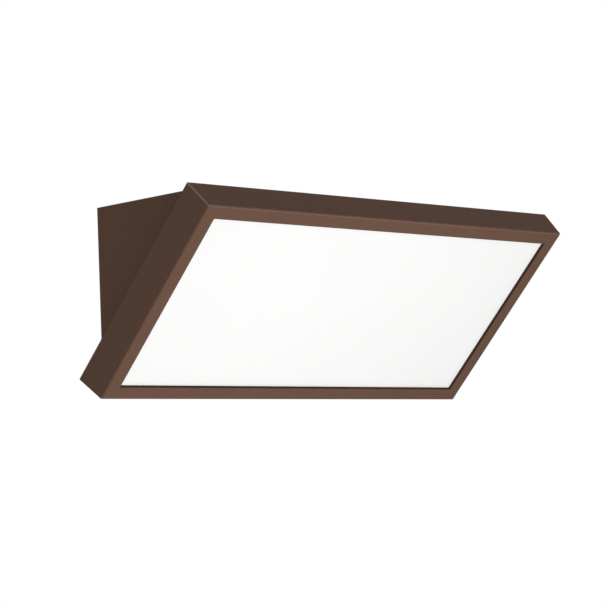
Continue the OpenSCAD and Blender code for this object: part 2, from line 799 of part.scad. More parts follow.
// From the terminal to the seal and on to the driver: pole, hole of the seal, and the run between
function supply_route(pole, side, run) =
    let (
        x = pole_x[pole],
        run_y = base_web_y + run[0],
        run_z = terminal_half_h + run[1],
        hole_z = grommet_z + grommet_pitch * side,
        end_z = driver_z + driver_lead_pitch * side
    )
    [
        [x, wire_mouth_y, contact_top_z],
        [x, wire_mouth_y, terminal_half_h - funnel_l],
        [x, wire_mouth_y, terminal_half_h + lead_r],
        [x - lead_turn, (wire_mouth_y + run_y) / 2, run_z - lead_r / 3],
        [(x + grommet_x) / 2, run_y, run_z],
        [grommet_x + 1.7 * lead_turn, grommet_mouth_y + lead_end, hole_z + lead_turn],
        [grommet_x + 0.2 * lead_turn, grommet_mouth_y + 0.5 * lead_end, hole_z + 0.1 * lead_turn],
        [grommet_x, grommet_mouth_y + lead_r, hole_z],
        [grommet_x, back_y, hole_z],
        [grommet_x, grommet_back_y - lead_r, hole_z],
        [grommet_x + 0.2 * lead_turn, grommet_back_y - 0.6 * lead_end, hole_z + 0.3 * lead_turn],
        [grommet_x + 1.2 * lead_turn, driver_hole_y + lead_r, (hole_z + end_z) / 2 + lead_r],
        [driver_end_x - lead_end, driver_hole_y, end_z],
        [driver_end_x - 0.3 * lead_end, driver_hole_y, end_z],
        [driver_end_x + driver_wall, driver_hole_y, end_z]
    ];
module lead_live() {
    color([0.45, 0.27, 0.15]) lead(supply_route(0, -1, low_run), lead_r, [1, 1, -1]);
}
module lead_neutral() {
    color([0.15, 0.3, 0.7]) lead(supply_route(1, 1, high_run), lead_r, [1, 1, -1]);
}
earth_crimp_w = 3.4;
earth_crimp_l = 2.4;
earth_tag_t = 0.8;
earth_ring_r = 4.4;
earth_neck = 8; // from the screw to the crimp's mouth
earth_end_wall = 0.4;
earth_crimp_x = earth_x - earth_neck;
earth_crimp_y = base_web_y + earth_crimp_w / 2;
module lead_earth() {
    color([0.45, 0.6, 0.15]) lead([
        [pole_x[2], wire_mouth_y, contact_top_z],
        [pole_x[2], wire_mouth_y, terminal_half_h - funnel_l],
        [pole_x[2], wire_mouth_y, terminal_half_h + lead_r],
        [pole_x[2] + 0.7 * lead_turn, wire_mouth_y, terminal_half_h + 1.4 * lead_turn],
        [(pole_x[2] + earth_crimp_x) / 2, wire_mouth_y, terminal_half_h + 1.3 * lead_turn],
        [earth_crimp_x - lead_turn, earth_crimp_y + 0.1 * lead_turn, earth_z + 0.2 * lead_turn],
        [earth_crimp_x, earth_crimp_y, earth_z],
        [earth_crimp_x + earth_crimp_l - earth_end_wall - seal_gap, earth_crimp_y, earth_z]
    ], lead_r, [0, 1, 0]);
}
led_lead_out = 1.5; // from the middle of the board's lead hole to each lead
led_lead_turn = 3;
led_lead_drop = 7; // how far the leads sink between the driver and the board
function led_lead_route(side) =
    let (
        start_z = driver_z + driver_lead_pitch * side,
        x = connector_x + led_lead_out * side,
        pin_x = connector_x + connector_pitch * side,
        top_u = connector_u + connector_h / 2,
        pin_w = w_board + connector_t / 2,
        middle_x = (driver_l / 2 + connector_x + 2 * led_lead_turn) / 2
    )
    [
        [driver_l / 2 - driver_wall, driver_hole_y, start_z],
        [driver_l / 2 + led_lead_r, driver_hole_y, start_z],
        [driver_l / 2 + 2 * led_lead_turn, driver_hole_y - led_lead_r, start_z - led_lead_r],
        [middle_x, driver_hole_y - led_lead_drop, driver_z - led_lead_drop + 0.9 * driver_lead_pitch * side],
        to_world(x - led_lead_turn, lead_hole_u, w_web_back - led_lead_drop - led_lead_r * side),
        to_world(x, lead_hole_u, w_web_back),
        to_world(x, lead_hole_u, w_board - 0.2 * led_lead_turn),
        to_world(x, lead_hole_u - 0.3 * led_lead_turn, w_board + 0.4 * led_lead_turn),
        to_world(pin_x, lead_hole_u - led_lead_turn, pin_w),
        to_world(pin_x, top_u - led_lead_r, pin_w),
        to_world(pin_x, top_u - 0.4 * connector_h, pin_w)
    ];
module lead_led_plus() {
    color([0.75, 0.12, 0.1]) lead(led_lead_route(1), led_lead_r, [1, 0, 1]);
}
module lead_led_minus() {
    color([0.1, 0.1, 0.1]) lead(led_lead_route(-1), led_lead_r, [1, 0, 1]);
}
module lead_grommet() {
    color(black_rubber) difference() {
        union() {
            along_y(grommet_r, grommet_x, grommet_z, back_y - shell_t, base_web_y);
            along_y(grommet_flange_r, grommet_x, grommet_z, grommet_back_y, back_y - shell_t);
            along_y(grommet_flange_r, grommet_x, grommet_z, base_web_y, grommet_mouth_y);
        }
        for (side = [-1, 1])
            along_y(
                lead_r + seal_gap, grommet_x, grommet_z + grommet_pitch * side,
                grommet_back_y - cut, grommet_mouth_y + cut
            );
    }
}

// Mounting base and what it holds
module mounting_base() {
    color(coat) difference() {
        rounded_block(base_half_l, base_half_h, base_corner_r, base_front_y, base_back_y);
        rounded_block(
            inner_half_l, inner_half_h, base_corner_r - base_wall, base_web_y, base_back_y + cut
        );
        for (at = base_screw_at)
            along_y(m4[0] + clear_hole, at[0], at[1], base_front_y - cut, base_web_y + cut);
        along_y(grommet_r + thread_gap, grommet_x, grommet_z, base_front_y - cut, base_web_y + cut);
        along_y(m4[0] + thread_gap, earth_x, earth_z, base_front_y - cut, base_web_y + cut);
        translate([base_half_l - 2 * base_wall, gland_y, 0]) rotate([0, 90, 0])
            cylinder(r = gland_stem_r + clear_hole, h = 4 * base_wall);
        for (side = [-1, 1])
            translate([side * tab_x, grub_y, -base_half_h - cut])
                cylinder(r = grub_r + thread_gap, h = base_wall + 2 * cut);
    }
}
module base_screws() {
    color(steel) for (at = base_screw_at)
        translate([at[0], base_web_y, at[1]]) rotate([-90, 0, 0])
            pan_screw(m4, base_screw_l);
}
module wall_gasket() {
    color(black_rubber) difference() {
        rounded_block(base_half_l, base_half_h, base_corner_r, -foam_t, 0);
        rounded_block(inner_half_l, inner_half_h, base_corner_r - base_wall, -foam_t - cut, cut);
    }
}
module retaining_screw(side) {
    color(steel) translate([side * tab_x, grub_y, grub_top_z - grub_l]) difference() {
        cylinder(r = grub_r, h = grub_l);
        translate([0, 0, -cut]) cylinder(r = grub_key_r, h = grub_key_depth + cut, $fn = 6);
    }
}
module retaining_screw_left() {
    retaining_screw(-1);
}
module retaining_screw_right() {
    retaining_screw(1);
}
module earth_tag() {
    color([0.8, 0.68, 0.35]) difference() {
        union() {
            along_y(earth_ring_r, earth_x, earth_z, base_web_y, base_web_y + earth_tag_t);
            translate([earth_crimp_x, base_web_y, earth_z - earth_crimp_w / 2])
                cube([earth_neck - m4[0] - 2 * seal_gap, earth_tag_t, earth_crimp_w]);
            translate([earth_crimp_x, base_web_y, earth_z - earth_crimp_w / 2])
                cube([earth_crimp_l, earth_crimp_w, earth_crimp_w]);
        }
        along_y(m4[0] + thread_gap, earth_x, earth_z, base_web_y - cut, base_web_y + earth_tag_t + cut);
        translate([earth_crimp_x - cut, earth_crimp_y, earth_z]) rotate([0, 90, 0])
            cylinder(r = lead_r + seal_gap, h = earth_crimp_l - earth_end_wall + cut);
    }
}
earth_screw_l = 3;
module earth_screw() {
    color([0.85, 0.72, 0.38]) translate([earth_x, base_web_y + earth_tag_t, earth_z]) rotate([-90, 0, 0])
        pan_screw(m4, earth_screw_l);
}

// Terminal block: three poles side by side, wires in from below, levers that open towards the wall
module terminal_block() {
    bed_l = lever_w + 2 * lever_bed_gap;
    bed_y = lever_y + lever_pivot_r - lever_t - lever_bed_gap;
    color([0.86, 0.87, 0.88]) difference() {
        translate([terminal_x - terminal_l / 2, base_web_y, -terminal_half_h])
            cube([terminal_l, terminal_d, 2 * terminal_half_h]);
        for (x = pole_x) {
            // Bed of the lever, and the bearing of its pivot
            translate([x - bed_l / 2, bed_y, -terminal_half_h - cut])
                cube([bed_l, terminal_d, lever_z + terminal_half_h + cut + lever_pivot_r + lever_bed_gap]);
            translate([x - bed_l / 2, lever_y, lever_z]) rotate([0, 90, 0])
                cylinder(r = lever_pivot_r + lever_bed_gap, h = bed_l);
            translate([x - lever_w / 2 - lever_pin_l - seal_gap, lever_y, lever_z]) rotate([0, 90, 0])
                cylinder(r = lever_pin_r + thread_gap, h = lever_w + 2 * (lever_pin_l + seal_gap));
            // Wire mouths below, and the lamp's own leads above
            translate([x, wire_mouth_y, -terminal_half_h - cut])
                cylinder(r = wire_mouth_r, h = wire_mouth_depth + cut);
            translate([x, wire_mouth_y, contact_top_z])
                cylinder(r = lead_r + seal_gap, h = terminal_half_h);
            translate([x, wire_mouth_y, terminal_half_h - funnel_l])
                cylinder(r1 = lead_r + seal_gap, r2 = funnel_r, h = funnel_l + skim);
            // Cell of the contact
            translate([
                x - contact_w / 2 - seal_gap,
                wire_mouth_y - contact_w / 2 - seal_gap,
                contact_foot_z - seal_gap
            ])
                cube([
                    contact_w + 2 * seal_gap,
                    contact_w + 2 * seal_gap,
                    contact_top_z - contact_foot_z + seal_gap
                ]);
        }
    }
}
module terminal_contacts() {
    color([0.8, 0.6, 0.35]) for (x = pole_x)
        translate([x - contact_w / 2, wire_mouth_y - contact_w / 2, contact_foot_z])
            cube([contact_w, contact_w, contact_top_z - contact_foot_z]);
}
lever_ridge = [0.8, 1.4]; // height and width
module lever(pole) {
    x = pole_x[pole];
    color([0.9, 0.45, 0.1]) union() {
        translate([x - lever_w / 2, lever_y, lever_z]) rotate([0, 90, 0])
            cylinder(r = lever_pivot_r, h = lever_w);
        translate([x - lever_w / 2 - lever_pin_l, lever_y, lever_z]) rotate([0, 90, 0])
            cylinder(r = lever_pin_r, h = lever_w + 2 * lever_pin_l);
        translate([x - lever_w / 2, lever_y - lever_t + lever_pivot_r, lever_z - lever_l])
            cube([lever_w, lever_t, lever_l]);
        // Finger ridge at the free end
        translate([x - lever_w / 2, lever_y + lever_pivot_r / 2, lever_z - lever_l])
            cube([lever_w, lever_pivot_r / 2 + lever_ridge[0], lever_ridge[1]]);
    }
}
module lever_live() {
    lever(0);
}
module lever_neutral() {
    lever(1);
}
module lever_earth() {
    lever(2);
}

// Cable gland
module on_gland() {
    translate([gland_x, gland_y, 0]) rotate([0, 90, 0]) children();
}
module gland_body() {
    color(black_rubber) on_gland() difference() {
        union() {
            hex_bar(gland_flats, gland_collar_t);
            cylinder(r = gland_thread_r, h = gland_collar_t + gland_thread_l);
            translate([0, 0, -gland_stem_l]) cylinder(r = gland_stem_r, h = gland_stem_l + cut);
        }
        translate([0, 0, -gland_stem_l - cut])
            cylinder(r = gland_stem_bore_r, h = gland_stem_l + gland_seat + 2 * cut);
        translate([0, 0, gland_seat]) cylinder(r = gland_bore_r, h = gland_collar_t + gland_thread_l);
    }
}
module gland_seal() {
    color(grey_rubber) on_gland() translate([0, 0, gland_seat]) difference() {
        cylinder(r = gland_bore_r - thread_gap, h = gland_seal_l);
        translate([0, 0, -cut]) cylinder(r = gland_cable / 2, h = gland_seal_l + 2 * cut);
    }
}
module gland_locknut() {
    color(black_rubber) on_gland() translate([0, 0, -base_wall - gland_locknut_t]) difference() {
        hex_bar(gland_flats, gland_locknut_t);
        translate([0, 0, -cut]) cylinder(r = gland_stem_r + thread_gap, h = gland_locknut_t + 2 * cut);
    }
}
module gland_nut() {
    flats_l = 0.6 * gland_nut_l;
    color(black_rubber) on_gland() translate([0, 0, gland_collar_t + gland_nut_gap]) difference() {
        union() {
            hex_bar(gland_flats, flats_l);
            cylinder(r = gland_flats / 2, h = gland_nut_l - gland_lip_t);
            translate([0, 0, gland_nut_l - gland_lip_t])
                cylinder(r1 = gland_flats / 2, r2 = gland_flats / 2 - gland_lip_t, h = gland_lip_t);
        }
        translate([0, 0, -cut])
            cylinder(r = gland_thread_r + thread_gap, h = gland_nut_l - gland_lip_t + cut);
        cylinder(r = gland_bore_r - 2 * seal_gap, h = gland_nut_l + cut);
    }
}

wall_bracket();
cable_bush();
front_frame();
diffuser();
lens_gasket();
reflector();
led_board();
leds();
board_connector();
board_screws();
heat_plate();
plate_screws();
rear_housing();
frame_screws();
driver_case();
driver_board();
driver_cover();
driver_screws();
lead_live();
lead_neutral();
lead_earth();
lead_led_plus();
lead_led_minus();
lead_grommet();
vent_plug();
mounting_base();
base_screws();
wall_gasket();
terminal_block();
terminal_contacts();
earth_screw();
earth_tag();
gland_body();
gland_seal();
gland_locknut();
gland_nut();
retaining_screw_left();
retaining_screw_right();
lever_live();
lever_neutral();
lever_earth();
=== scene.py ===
import math

import bmesh
import bpy
from mathutils import Matrix, Vector


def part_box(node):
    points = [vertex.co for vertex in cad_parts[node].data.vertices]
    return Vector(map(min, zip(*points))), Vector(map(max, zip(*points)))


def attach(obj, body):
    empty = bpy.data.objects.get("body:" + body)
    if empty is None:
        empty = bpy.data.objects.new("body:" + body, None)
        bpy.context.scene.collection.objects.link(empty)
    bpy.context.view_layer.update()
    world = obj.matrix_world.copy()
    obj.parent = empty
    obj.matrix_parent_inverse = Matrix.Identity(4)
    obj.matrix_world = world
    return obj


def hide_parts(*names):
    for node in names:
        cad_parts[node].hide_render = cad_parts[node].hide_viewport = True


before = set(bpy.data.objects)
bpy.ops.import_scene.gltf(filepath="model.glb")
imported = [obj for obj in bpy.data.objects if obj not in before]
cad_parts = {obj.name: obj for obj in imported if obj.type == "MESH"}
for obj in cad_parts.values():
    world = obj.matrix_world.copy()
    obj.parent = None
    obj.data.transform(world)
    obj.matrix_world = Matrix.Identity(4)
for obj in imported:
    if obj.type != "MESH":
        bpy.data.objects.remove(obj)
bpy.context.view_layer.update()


# Camera. The photograph looks at the lamp from its left and a little below, through a long lens that is
# turned by about two degrees. Its place comes from a fit to the lamp's edges in the photograph.
face_middle = Vector((0.0, -0.069802, -0.019526))
look = Vector((0.68836, 0.72006, 0.08766)).normalized()
level = Vector((0.72284, -0.69102, 0.0)).normalized()
upright = level.cross(look)
roll, distance, aside, above = -0.04124, 1.25844, -0.02222, 0.00572
side_axis = level * math.cos(roll) + upright * math.sin(roll)
up_axis = upright * math.cos(roll) - level * math.sin(roll)
eye = face_middle - look * distance + level * aside + upright * above


def put_in_scene(name, data):
    """New object in the scene, with this data."""
    made = bpy.data.objects.new(name, data)
    bpy.context.scene.collection.objects.link(made)
    return made


long_lens = bpy.data.cameras.new("camera")
long_lens.sensor_width = 36.0
long_lens.lens = 130.71
long_lens.clip_start, long_lens.clip_end = 0.05, 60.0
camera = put_in_scene("camera", long_lens)
camera.matrix_world = Matrix.Translation(eye) @ Matrix((side_axis, up_axis, -look)).transposed().to_4x4()
bpy.context.scene.camera = camera


# Wall bracket: a plate of 1.5 mm galvanised steel with four folded tabs, screwed to the wall through its
# two slots. It is blanked and folded, so its edges are slightly rounded and its zinc shows spangle.
class Wire:
    """A node's socket that can be written into an expression."""

    def __init__(self, tree, socket):
        self.tree, self.socket = tree, socket

    def node(self, kind, settings=None, sockets=None, out=0):
        """Adds a node: its settings first, then the values or wires of its sockets."""
        made = self.tree.nodes.new(kind)
        for key, value in (settings or {}).items():
            setattr(made, key, value)
        for key, value in (sockets or {}).items():
            into = next((s for s in made.inputs if s.identifier == key), None) or made.inputs[key]
            for item in value if isinstance(value, list) else [value]:
                if isinstance(item, Wire):
                    self.tree.links.new(item.socket, into)
                else:
                    into.default_value = item
        found = next((s for s in made.outputs if out in (s.identifier, s.name)), None)
        return Wire(self.tree, found or made.outputs[out])

    def other(self, name):
        """Another output of the same node."""
        return Wire(self.tree, self.socket.node.outputs[name])

    def axis(self, name):
        """One number of a place: its X, Y or Z."""
        return self.node("ShaderNodeSeparateXYZ", None, {"Vector": self}, name)

    def along(self, direction):
        """How far a place lies along a direction."""
        return self.node("ShaderNodeVectorMath", {"operation": "DOT_PRODUCT"},
                         {"Vector": self, "Vector_001": tuple(direction)}, "Value")

    def maths(self, operation, first, second=0.0):
        return self.node("ShaderNodeMath", {"operation": operation}, {"Value": first, "Value_001": second})

    def __add__(self, other):
        return self.maths("ADD", self, other)

    def __radd__(self, other):
        return self.maths("ADD", other, self)

    def __sub__(self, other):
        return self.maths("SUBTRACT", self, other)

    def __rsub__(self, other):
        return self.maths("SUBTRACT", other, self)

    def __mul__(self, other):
        return self.maths("MULTIPLY", self, other)

    def __rmul__(self, other):
        return self.maths("MULTIPLY", other, self)

    def __truediv__(self, other):
        return self.maths("DIVIDE", self, other)

    def __mod__(self, other):
        return self.maths("FLOORED_MODULO", self, other)

    def __gt__(self, other):
        return self.maths("GREATER_THAN", self, other)

    def __lt__(self, other):
        return self.maths("LESS_THAN", self, other)

    def __abs__(self):
        return self.maths("ABSOLUTE", self)


def grain(point, size, detail=2.0, stretch=(1.0, 1.0, 1.0)):
    """Noise from 0 to 1 whose lumps measure about size, in metres."""
    place = point.node("ShaderNodeMapping", None, {"Vector": point, "Scale": tuple(s / size for s in stretch)})
    return point.node("ShaderNodeTexNoise", None, {"Vector": place, "Scale": 1.0, "Detail": detail})


def blend(factor, low, high):
    """Colour between two colours, as the factor goes from 0 to 1."""
    low, high = [c if isinstance(c, Wire) else (*c, 1.0) for c in (low, high)]
    return factor.node("ShaderNodeMix", {"data_type": "RGBA"},
                       {"Factor_Float": factor, "A_Color": low, "B_Color": high}, "Result_Color")


def relief(height, depth):
    """Normal of a surface whose height map spans depth, in metres."""
    return height.node("ShaderNodeBump", None, {"Height": height, "Strength": 1.0, "Distance": depth})


def new_finish(name, fixed, recipe):
    """Material: fixed values go on the shader, and the recipe returns what varies over the surface."""
    made = bpy.data.materials.new(name)
    made.use_nodes = True
    tree = made.node_tree
    tree.nodes.clear()
    end = tree.nodes.new("ShaderNodeOutputMaterial")
    skin = tree.nodes.new("ShaderNodeBsdfPrincipled")
    tree.links.new(skin.outputs[0], end.inputs[0])
    point = Wire(tree, tree.nodes.new("ShaderNodeTexCoord").outputs["Object"])
    for socket, value in fixed.items():
        skin.inputs[socket].default_value = value
    for socket, wire in recipe(point).items():
        tree.links.new(wire.socket, skin.inputs[socket])
    return made


def tint(red, green, blue):
    """Linear colour of a paint chip given on the usual 0 to 255 scale."""
    return tuple((c / 255 / 12.92 if c <= 10 else ((c / 255 + 0.055) / 1.055) ** 2.4) for c in (red, green, blue))


def whole_mesh(node):
    """Copy of a solid's mesh with its loose triangles joined and its flat faces made whole."""
    same_place, flat = 0.000002, math.radians(1.0)
    work = bmesh.new()
    work.from_mesh(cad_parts[node].data)
    bmesh.ops.remove_doubles(work, verts=work.verts, dist=same_place)
    bmesh.ops.dissolve_limit(work, angle_limit=flat, verts=work.verts, edges=work.edges)
    return work


def settled(piece, node, body):
    """Puts a piece in its solid's place: the solid is hidden, and the piece hangs on the body that carries it."""
    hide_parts(node)
    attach(piece, body)


fold = math.radians(34.0)


def smoothed(mesh):
    """Drops a mesh's faces that have no area, and shades it smoothly apart from its folds. The marks of the
    folds go wrong where the mesh still has the solid's stored normals."""
    no_size = 0.000001
    work = bmesh.new()
    work.from_mesh(mesh)
    bmesh.ops.dissolve_degenerate(work, dist=no_size, edges=work.edges)
    work.to_mesh(mesh)
    work.free()
    if "custom_normal" in mesh.attributes:
        mesh.attributes.remove(mesh.attributes["custom_normal"])
    mesh.shade_smooth()
    mesh.set_sharp_from_angle(angle=fold)


def dressed(node, body, finishes, rounding=0.0, segments=3, weigh=None, choose=None, edge_finish=-1):
    """Piece that takes a solid's place: the same form with its outer edges rounded, and its own finish.
    weigh gives an edge's share of the rounding, and choose the number of a face's finish."""
    shortest = 0.0006
    work = whole_mesh(node)
    weight = work.edges.layers.float.new("bevel_weight_edge")
    for edge in work.edges:
        sharp = edge.is_manifold and edge.calc_face_angle(0.0) > fold
        if sharp and edge.is_convex and edge.calc_length() > shortest:
            edge[weight] = weigh(edge) if weigh else 1.0
    mesh = bpy.data.meshes.new(node + "_piece")
    work.to_mesh(mesh)
    work.free()
    piece = put_in_scene(node + "_piece", mesh)
    for finish in finishes if isinstance(finishes, list) else [finishes]:
        mesh.materials.append(finish)
    if choose:
        for face in mesh.polygons:
            face.material_index = choose(face.center, face.normal)
    if rounding:
        edges = piece.modifiers.new("rounded edges", "BEVEL")
        edges.limit_method, edges.width, edges.segments = "WEIGHT", rounding, segments
        edges.use_clamp_overlap, edges.miter_outer, edges.material = True, "MITER_ARC", edge_finish
        rounded = piece.evaluated_get(bpy.context.evaluated_depsgraph_get())
        piece.data = bpy.data.meshes.new_from_object(rounded)
        piece.modifiers.clear()
    smoothed(piece.data)
    flats = piece.modifiers.new("flat faces kept flat", "WEIGHTED_NORMAL")
    flats.keep_sharp, flats.weight, flats.thresh = True, 100, 0.0
    settled(piece, node, body)
    return piece


def galvanised(point):
    flake = point.node("ShaderNodeTexVoronoi", None, {"Vector": point, "Scale": 240.0}, "Color")
    flake = flake.node("ShaderNodeSeparateColor", None, {"Color": flake})
    haze = grain(point, 0.012, 3.0)
    scratch = grain(point, 0.0012, 2.0, (0.12, 1.0, 1.0))
    shade = flake * 0.5 + haze * 0.5
    return {
        "Base Color": blend(shade, (0.50, 0.51, 0.53), (0.68, 0.69, 0.71)),
        "Roughness": 0.30 + 0.18 * flake + 0.10 * haze,
        "Normal": relief(flake * 0.4 + scratch * 0.6, 0.000012),
    }


zinc = new_finish("galvanised steel", {"Metallic": 0.95}, galvanised)
dressed("wall_bracket", "bracket", zinc, rounding=0.00025)


# Cable bush: a soft black bush pushed into the bracket's cable hole, so that the sheet's edge can't cut
# the supply cable. It is moulded in rubber, with a dull and slightly bloomed skin.
def rubbery(dark, light, dull, bloom=0.006):
    def recipe(point):
        skin = grain(point, 0.0005)
        patch = grain(point, bloom, 3.0)
        return {
            "Base Color": blend(patch * 0.7 + skin * 0.3, dark, light),
            "Roughness": dull - 0.06 + 0.12 * patch,
            "Normal": relief(skin, 0.00002),
        }
    return recipe


rubber_skin = rubbery(tint(24, 24, 24), tint(44, 43, 42), 0.74)
black_rubber = new_finish("black rubber", {"Specular IOR Level": 0.4}, rubber_skin)
dressed("cable_bush", "bracket", black_rubber, rounding=0.0004)


# Foam seal: a ring of black closed-cell foam glued to the base's rim, which takes up the wall's unevenness.
# It is cut from sheet, so its cut sides show the open cells.
def foamy(point):
    cell = point.node("ShaderNodeTexVoronoi", None, {"Vector": point, "Scale": 1500.0}, "Distance")
    wide = grain(point, 0.004)
    return {
        "Base Color": blend(cell, tint(20, 20, 21), tint(58, 57, 56)),
        "Roughness": 0.82 + 0.14 * wide,
        "Normal": relief(cell, 0.00012),
    }


foam = new_finish("black foam", {"Specular IOR Level": 0.3}, foamy)
dressed("wall_gasket", "head", foam, rounding=0.0003)


# Mounting base: a die-cast aluminium box with rounded corners, screwed to the wedge's back. It has the
# same brown powder coat as the rest of the lamp: a baked skin with a fine, slightly pebbled texture.
def coated(deep, light, fleck_colour):
    def recipe(point):
        pebble = grain(point, 0.00042, 3.0)
        orange_peel = grain(point, 0.0022, 1.0)
        drift = grain(point, 0.045, 2.0)
        fleck = grain(point, 0.00018, 1.0) > 0.66
        mixed = drift * 0.45 + orange_peel * 0.2 + pebble * 0.35
        return {
            "Base Color": blend(fleck * 0.35, blend(mixed, deep, light), fleck_colour),
            "Roughness": 0.56 + 0.10 * pebble + 0.05 * drift,
            "Normal": relief(pebble * 0.7 + orange_peel * 0.3, 0.000045),
        }
    return recipe


coat_deep, coat_light, coat_fleck = tint(98, 74, 61), tint(110, 84, 70), tint(128, 100, 86)
coat_gloss = {"Specular IOR Level": 0.04}
coat = new_finish("brown powder coat", coat_gloss, coated(coat_deep, coat_light, coat_fleck))
dressed("mounting_base", "head", coat, rounding=0.0006)


# Retaining screws: two stainless grub screws with hex sockets in the base's bottom wall. They are turned
# from below to clamp the lamp on the bracket, and drawn steel keeps faint marks from the tool.
def turned(point):
    line = grain(point, 0.00012, 2.0, (1.0, 1.0, 0.15))
    patch = grain(point, 0.0015, 2.0)
    return {
        "Base Color": blend(line * 0.5 + patch * 0.5, (0.40, 0.41, 0.42), (0.60, 0.61, 0.62)),
        "Roughness": 0.24 + 0.16 * line + 0.10 * patch,
        "Normal": relief(line, 0.000006),
    }


stainless = new_finish("stainless steel", {"Metallic": 1.0}, turned)
for side in ("left", "right"):
    dressed("retaining_screw_" + side, "retaining_screw_" + side, stainless, rounding=0.0002, segments=2)


# Terminal block: a grey moulded block with three poles, clipped to the base's front plate. Each pole has an
# orange lever, which opens its clamp, and a tinned contact inside.
def moulded(dark, light, dull, spark=0.0004, depth=0.00001):
    def recipe(point):
        skin = grain(point, spark, 2.0)
        flow = grain(point, 0.014, 2.0, (1.0, 0.4, 1.0))
        return {
            "Base Color": blend(flow * 0.6 + skin * 0.4, dark, light),
            "Roughness": dull - 0.05 + 0.07 * skin + 0.05 * flow,
            "Normal": relief(skin, depth),
        }
    return recipe


def tinned(point):
    streak = grain(point, 0.0006, 3.0, (0.3, 1.0, 1.0))
    return {
        "Base Color": blend(streak, (0.62, 0.60, 0.56), (0.82, 0.80, 0.77)),
        "Roughness": 0.28 + 0.2 * streak,
        "Normal": relief(streak, 0.000008),
    }


grey_plastic = new_finish("grey terminal plastic", {}, moulded(tint(196, 198, 200), tint(212, 213, 214), 0.42))
orange_plastic = new_finish("orange lever plastic", {}, moulded(tint(214, 96, 24), tint(230, 112, 34), 0.32))
tin = new_finish("tinned metal", {"Metallic": 1.0}, tinned)
dressed("terminal_block", "head", grey_plastic, rounding=0.00015, segments=2)
dressed("terminal_contacts", "head", tin, rounding=0.0002, segments=2)
for pole in ("live", "neutral", "earth"):
    dressed("lever_" + pole, "lever_" + pole, orange_plastic, rounding=0.0002, segments=2)


# Earth tag and screw: a stamped brass ring, whose crimped neck holds the earth lead's bare end, under a brass
# screw in the base's front plate. Every screw but the grub screws comes from this section's tree.
def brassy(point):
    rub = grain(point, 0.0004, 3.0)
    patch = grain(point, 0.003, 2.0)
    return {
        "Base Color": blend(patch * 0.6 + rub * 0.4, (0.62, 0.47, 0.20), (0.78, 0.62, 0.32)),
        "Roughness": 0.28 + 0.18 * rub,
        "Normal": relief(rub, 0.000006),
    }


def new_tree(name, inputs):
    """Tree of geometry nodes with named inputs, and a wire to each of them."""
    tree = bpy.data.node_groups.new(name, "GeometryNodeTree")
    tree.interface.new_socket("Geometry", in_out="OUTPUT", socket_type="NodeSocketGeometry")
    for label, kind in inputs.items():
        tree.interface.new_socket(label, in_out="INPUT", socket_type="NodeSocket" + kind)
    entry = tree.nodes.new("NodeGroupInput")
    return tree, {label: Wire(tree, entry.outputs[label]) for label in inputs}


def moved(shape, sockets):
    """Shape with its points set to a position, or shifted by an offset."""
    return shape.node("GeometryNodeSetPosition", None, {"Geometry": shape, **sockets})


def spot(x=0.0, y=0.0, z=0.0):
    """Place made of three numbers, at least one of them a wire."""
    first = next(n for n in (x, y, z) if isinstance(n, Wire))
    return first.node("ShaderNodeCombineXYZ", None, {"X": x, "Y": y, "Z": z})


def in_grid(shape, given, seed=None):
    """Shape at each point of a grid, turned at random where there is a seed. The whole grid is then turned
    about X and moved to its place."""
    spots = shape.node("GeometryNodeMeshGrid", None, {
        "Size X": given["Width"], "Size Y": given["Height"], "Vertices X": given["Columns"],
        "Vertices Y": given["Rows"]})
    stood = {"Points": spots, "Instance": shape}
    if seed:
        stood["Rotation"] = spot(z=spots.node("FunctionNodeRandomValue", {"data_type": "FLOAT"}, {
            "Min_001": 0.0, "Max_001": math.tau, "Seed": seed}, "Value_001"))
    grid = spots.node("GeometryNodeInstanceOnPoints", None, stood)
    return grid.node("GeometryNodeTransform", None, {
        "Geometry": grid, "Translation": given["Place"], "Rotation": spot(given["Turn"])})


def finished(shape, *finishes):
    """Ends a tree: its instances are made real, and its faces take their finishes."""
    shape = shape.node("GeometryNodeRealizeInstances", None, {"Geometry": shape})
    for finish, chosen in finishes:
        shape = shape.node("GeometryNodeSetMaterial", None,
                           {"Geometry": shape, "Selection": True if chosen is None else chosen, "Material": finish})
    end = shape.tree.nodes.new("NodeGroupOutput")
    shape.tree.links.new(shape.socket, end.inputs[0])


def grown(name, tree, sizes, path=None):
    """Plain mesh that a tree makes from these sizes, and from a path where it has one."""
    piece = put_in_scene(name, path or bpy.data.meshes.new(name))
    grower = piece.modifiers.new(name, "NODES")
    grower.node_group = tree
    for item in tree.interface.items_tree:
        if item.in_out == "INPUT" and item.name in sizes:
            grower[item.identifier] = sizes[item.name]
    graph = bpy.context.evaluated_depsgraph_get()
    shape = piece.evaluated_get(graph)
    piece.data = bpy.data.meshes.new_from_object(shape, preserve_all_data_layers=True, depsgraph=graph)
    piece.modifiers.remove(grower)
    piece.data.name = name
    smoothed(piece.data)
    return piece


# One pan head screw, upright with its head's underside at zero, stands at each point of a grid.
screw_tree, given = new_tree("pan head screws", {
    "Shank Radius": "Float", "Head Radius": "Float", "Head Height": "Float", "Pitch": "Float", "Length": "Float",
    "Columns": "Int", "Rows": "Int", "Width": "Float", "Height": "Float", "Place": "Vector", "Turn": "Float",
    "Seed": "Int", "Finish": "Material"})
shank_r, head_r, head_h = given["Shank Radius"], given["Head Radius"], given["Head Height"]
shank_l = given["Length"] + head_h * 0.5
rings = shank_l.maths("ROUND", shank_l / given["Pitch"] * 2.0)
shank = rings.node("GeometryNodeMeshCylinder", None, {
    "Vertices": 16, "Side Segments": rings, "Radius": shank_r, "Depth": shank_l})
here = shank.node("GeometryNodeInputPosition")
ring = rings.maths("ROUND", (here.axis("Z") / shank_l + 0.5) * rings)
narrow = 1.0 - 0.13 * (ring % 2.0) - 0.22 * (ring < 0.5)
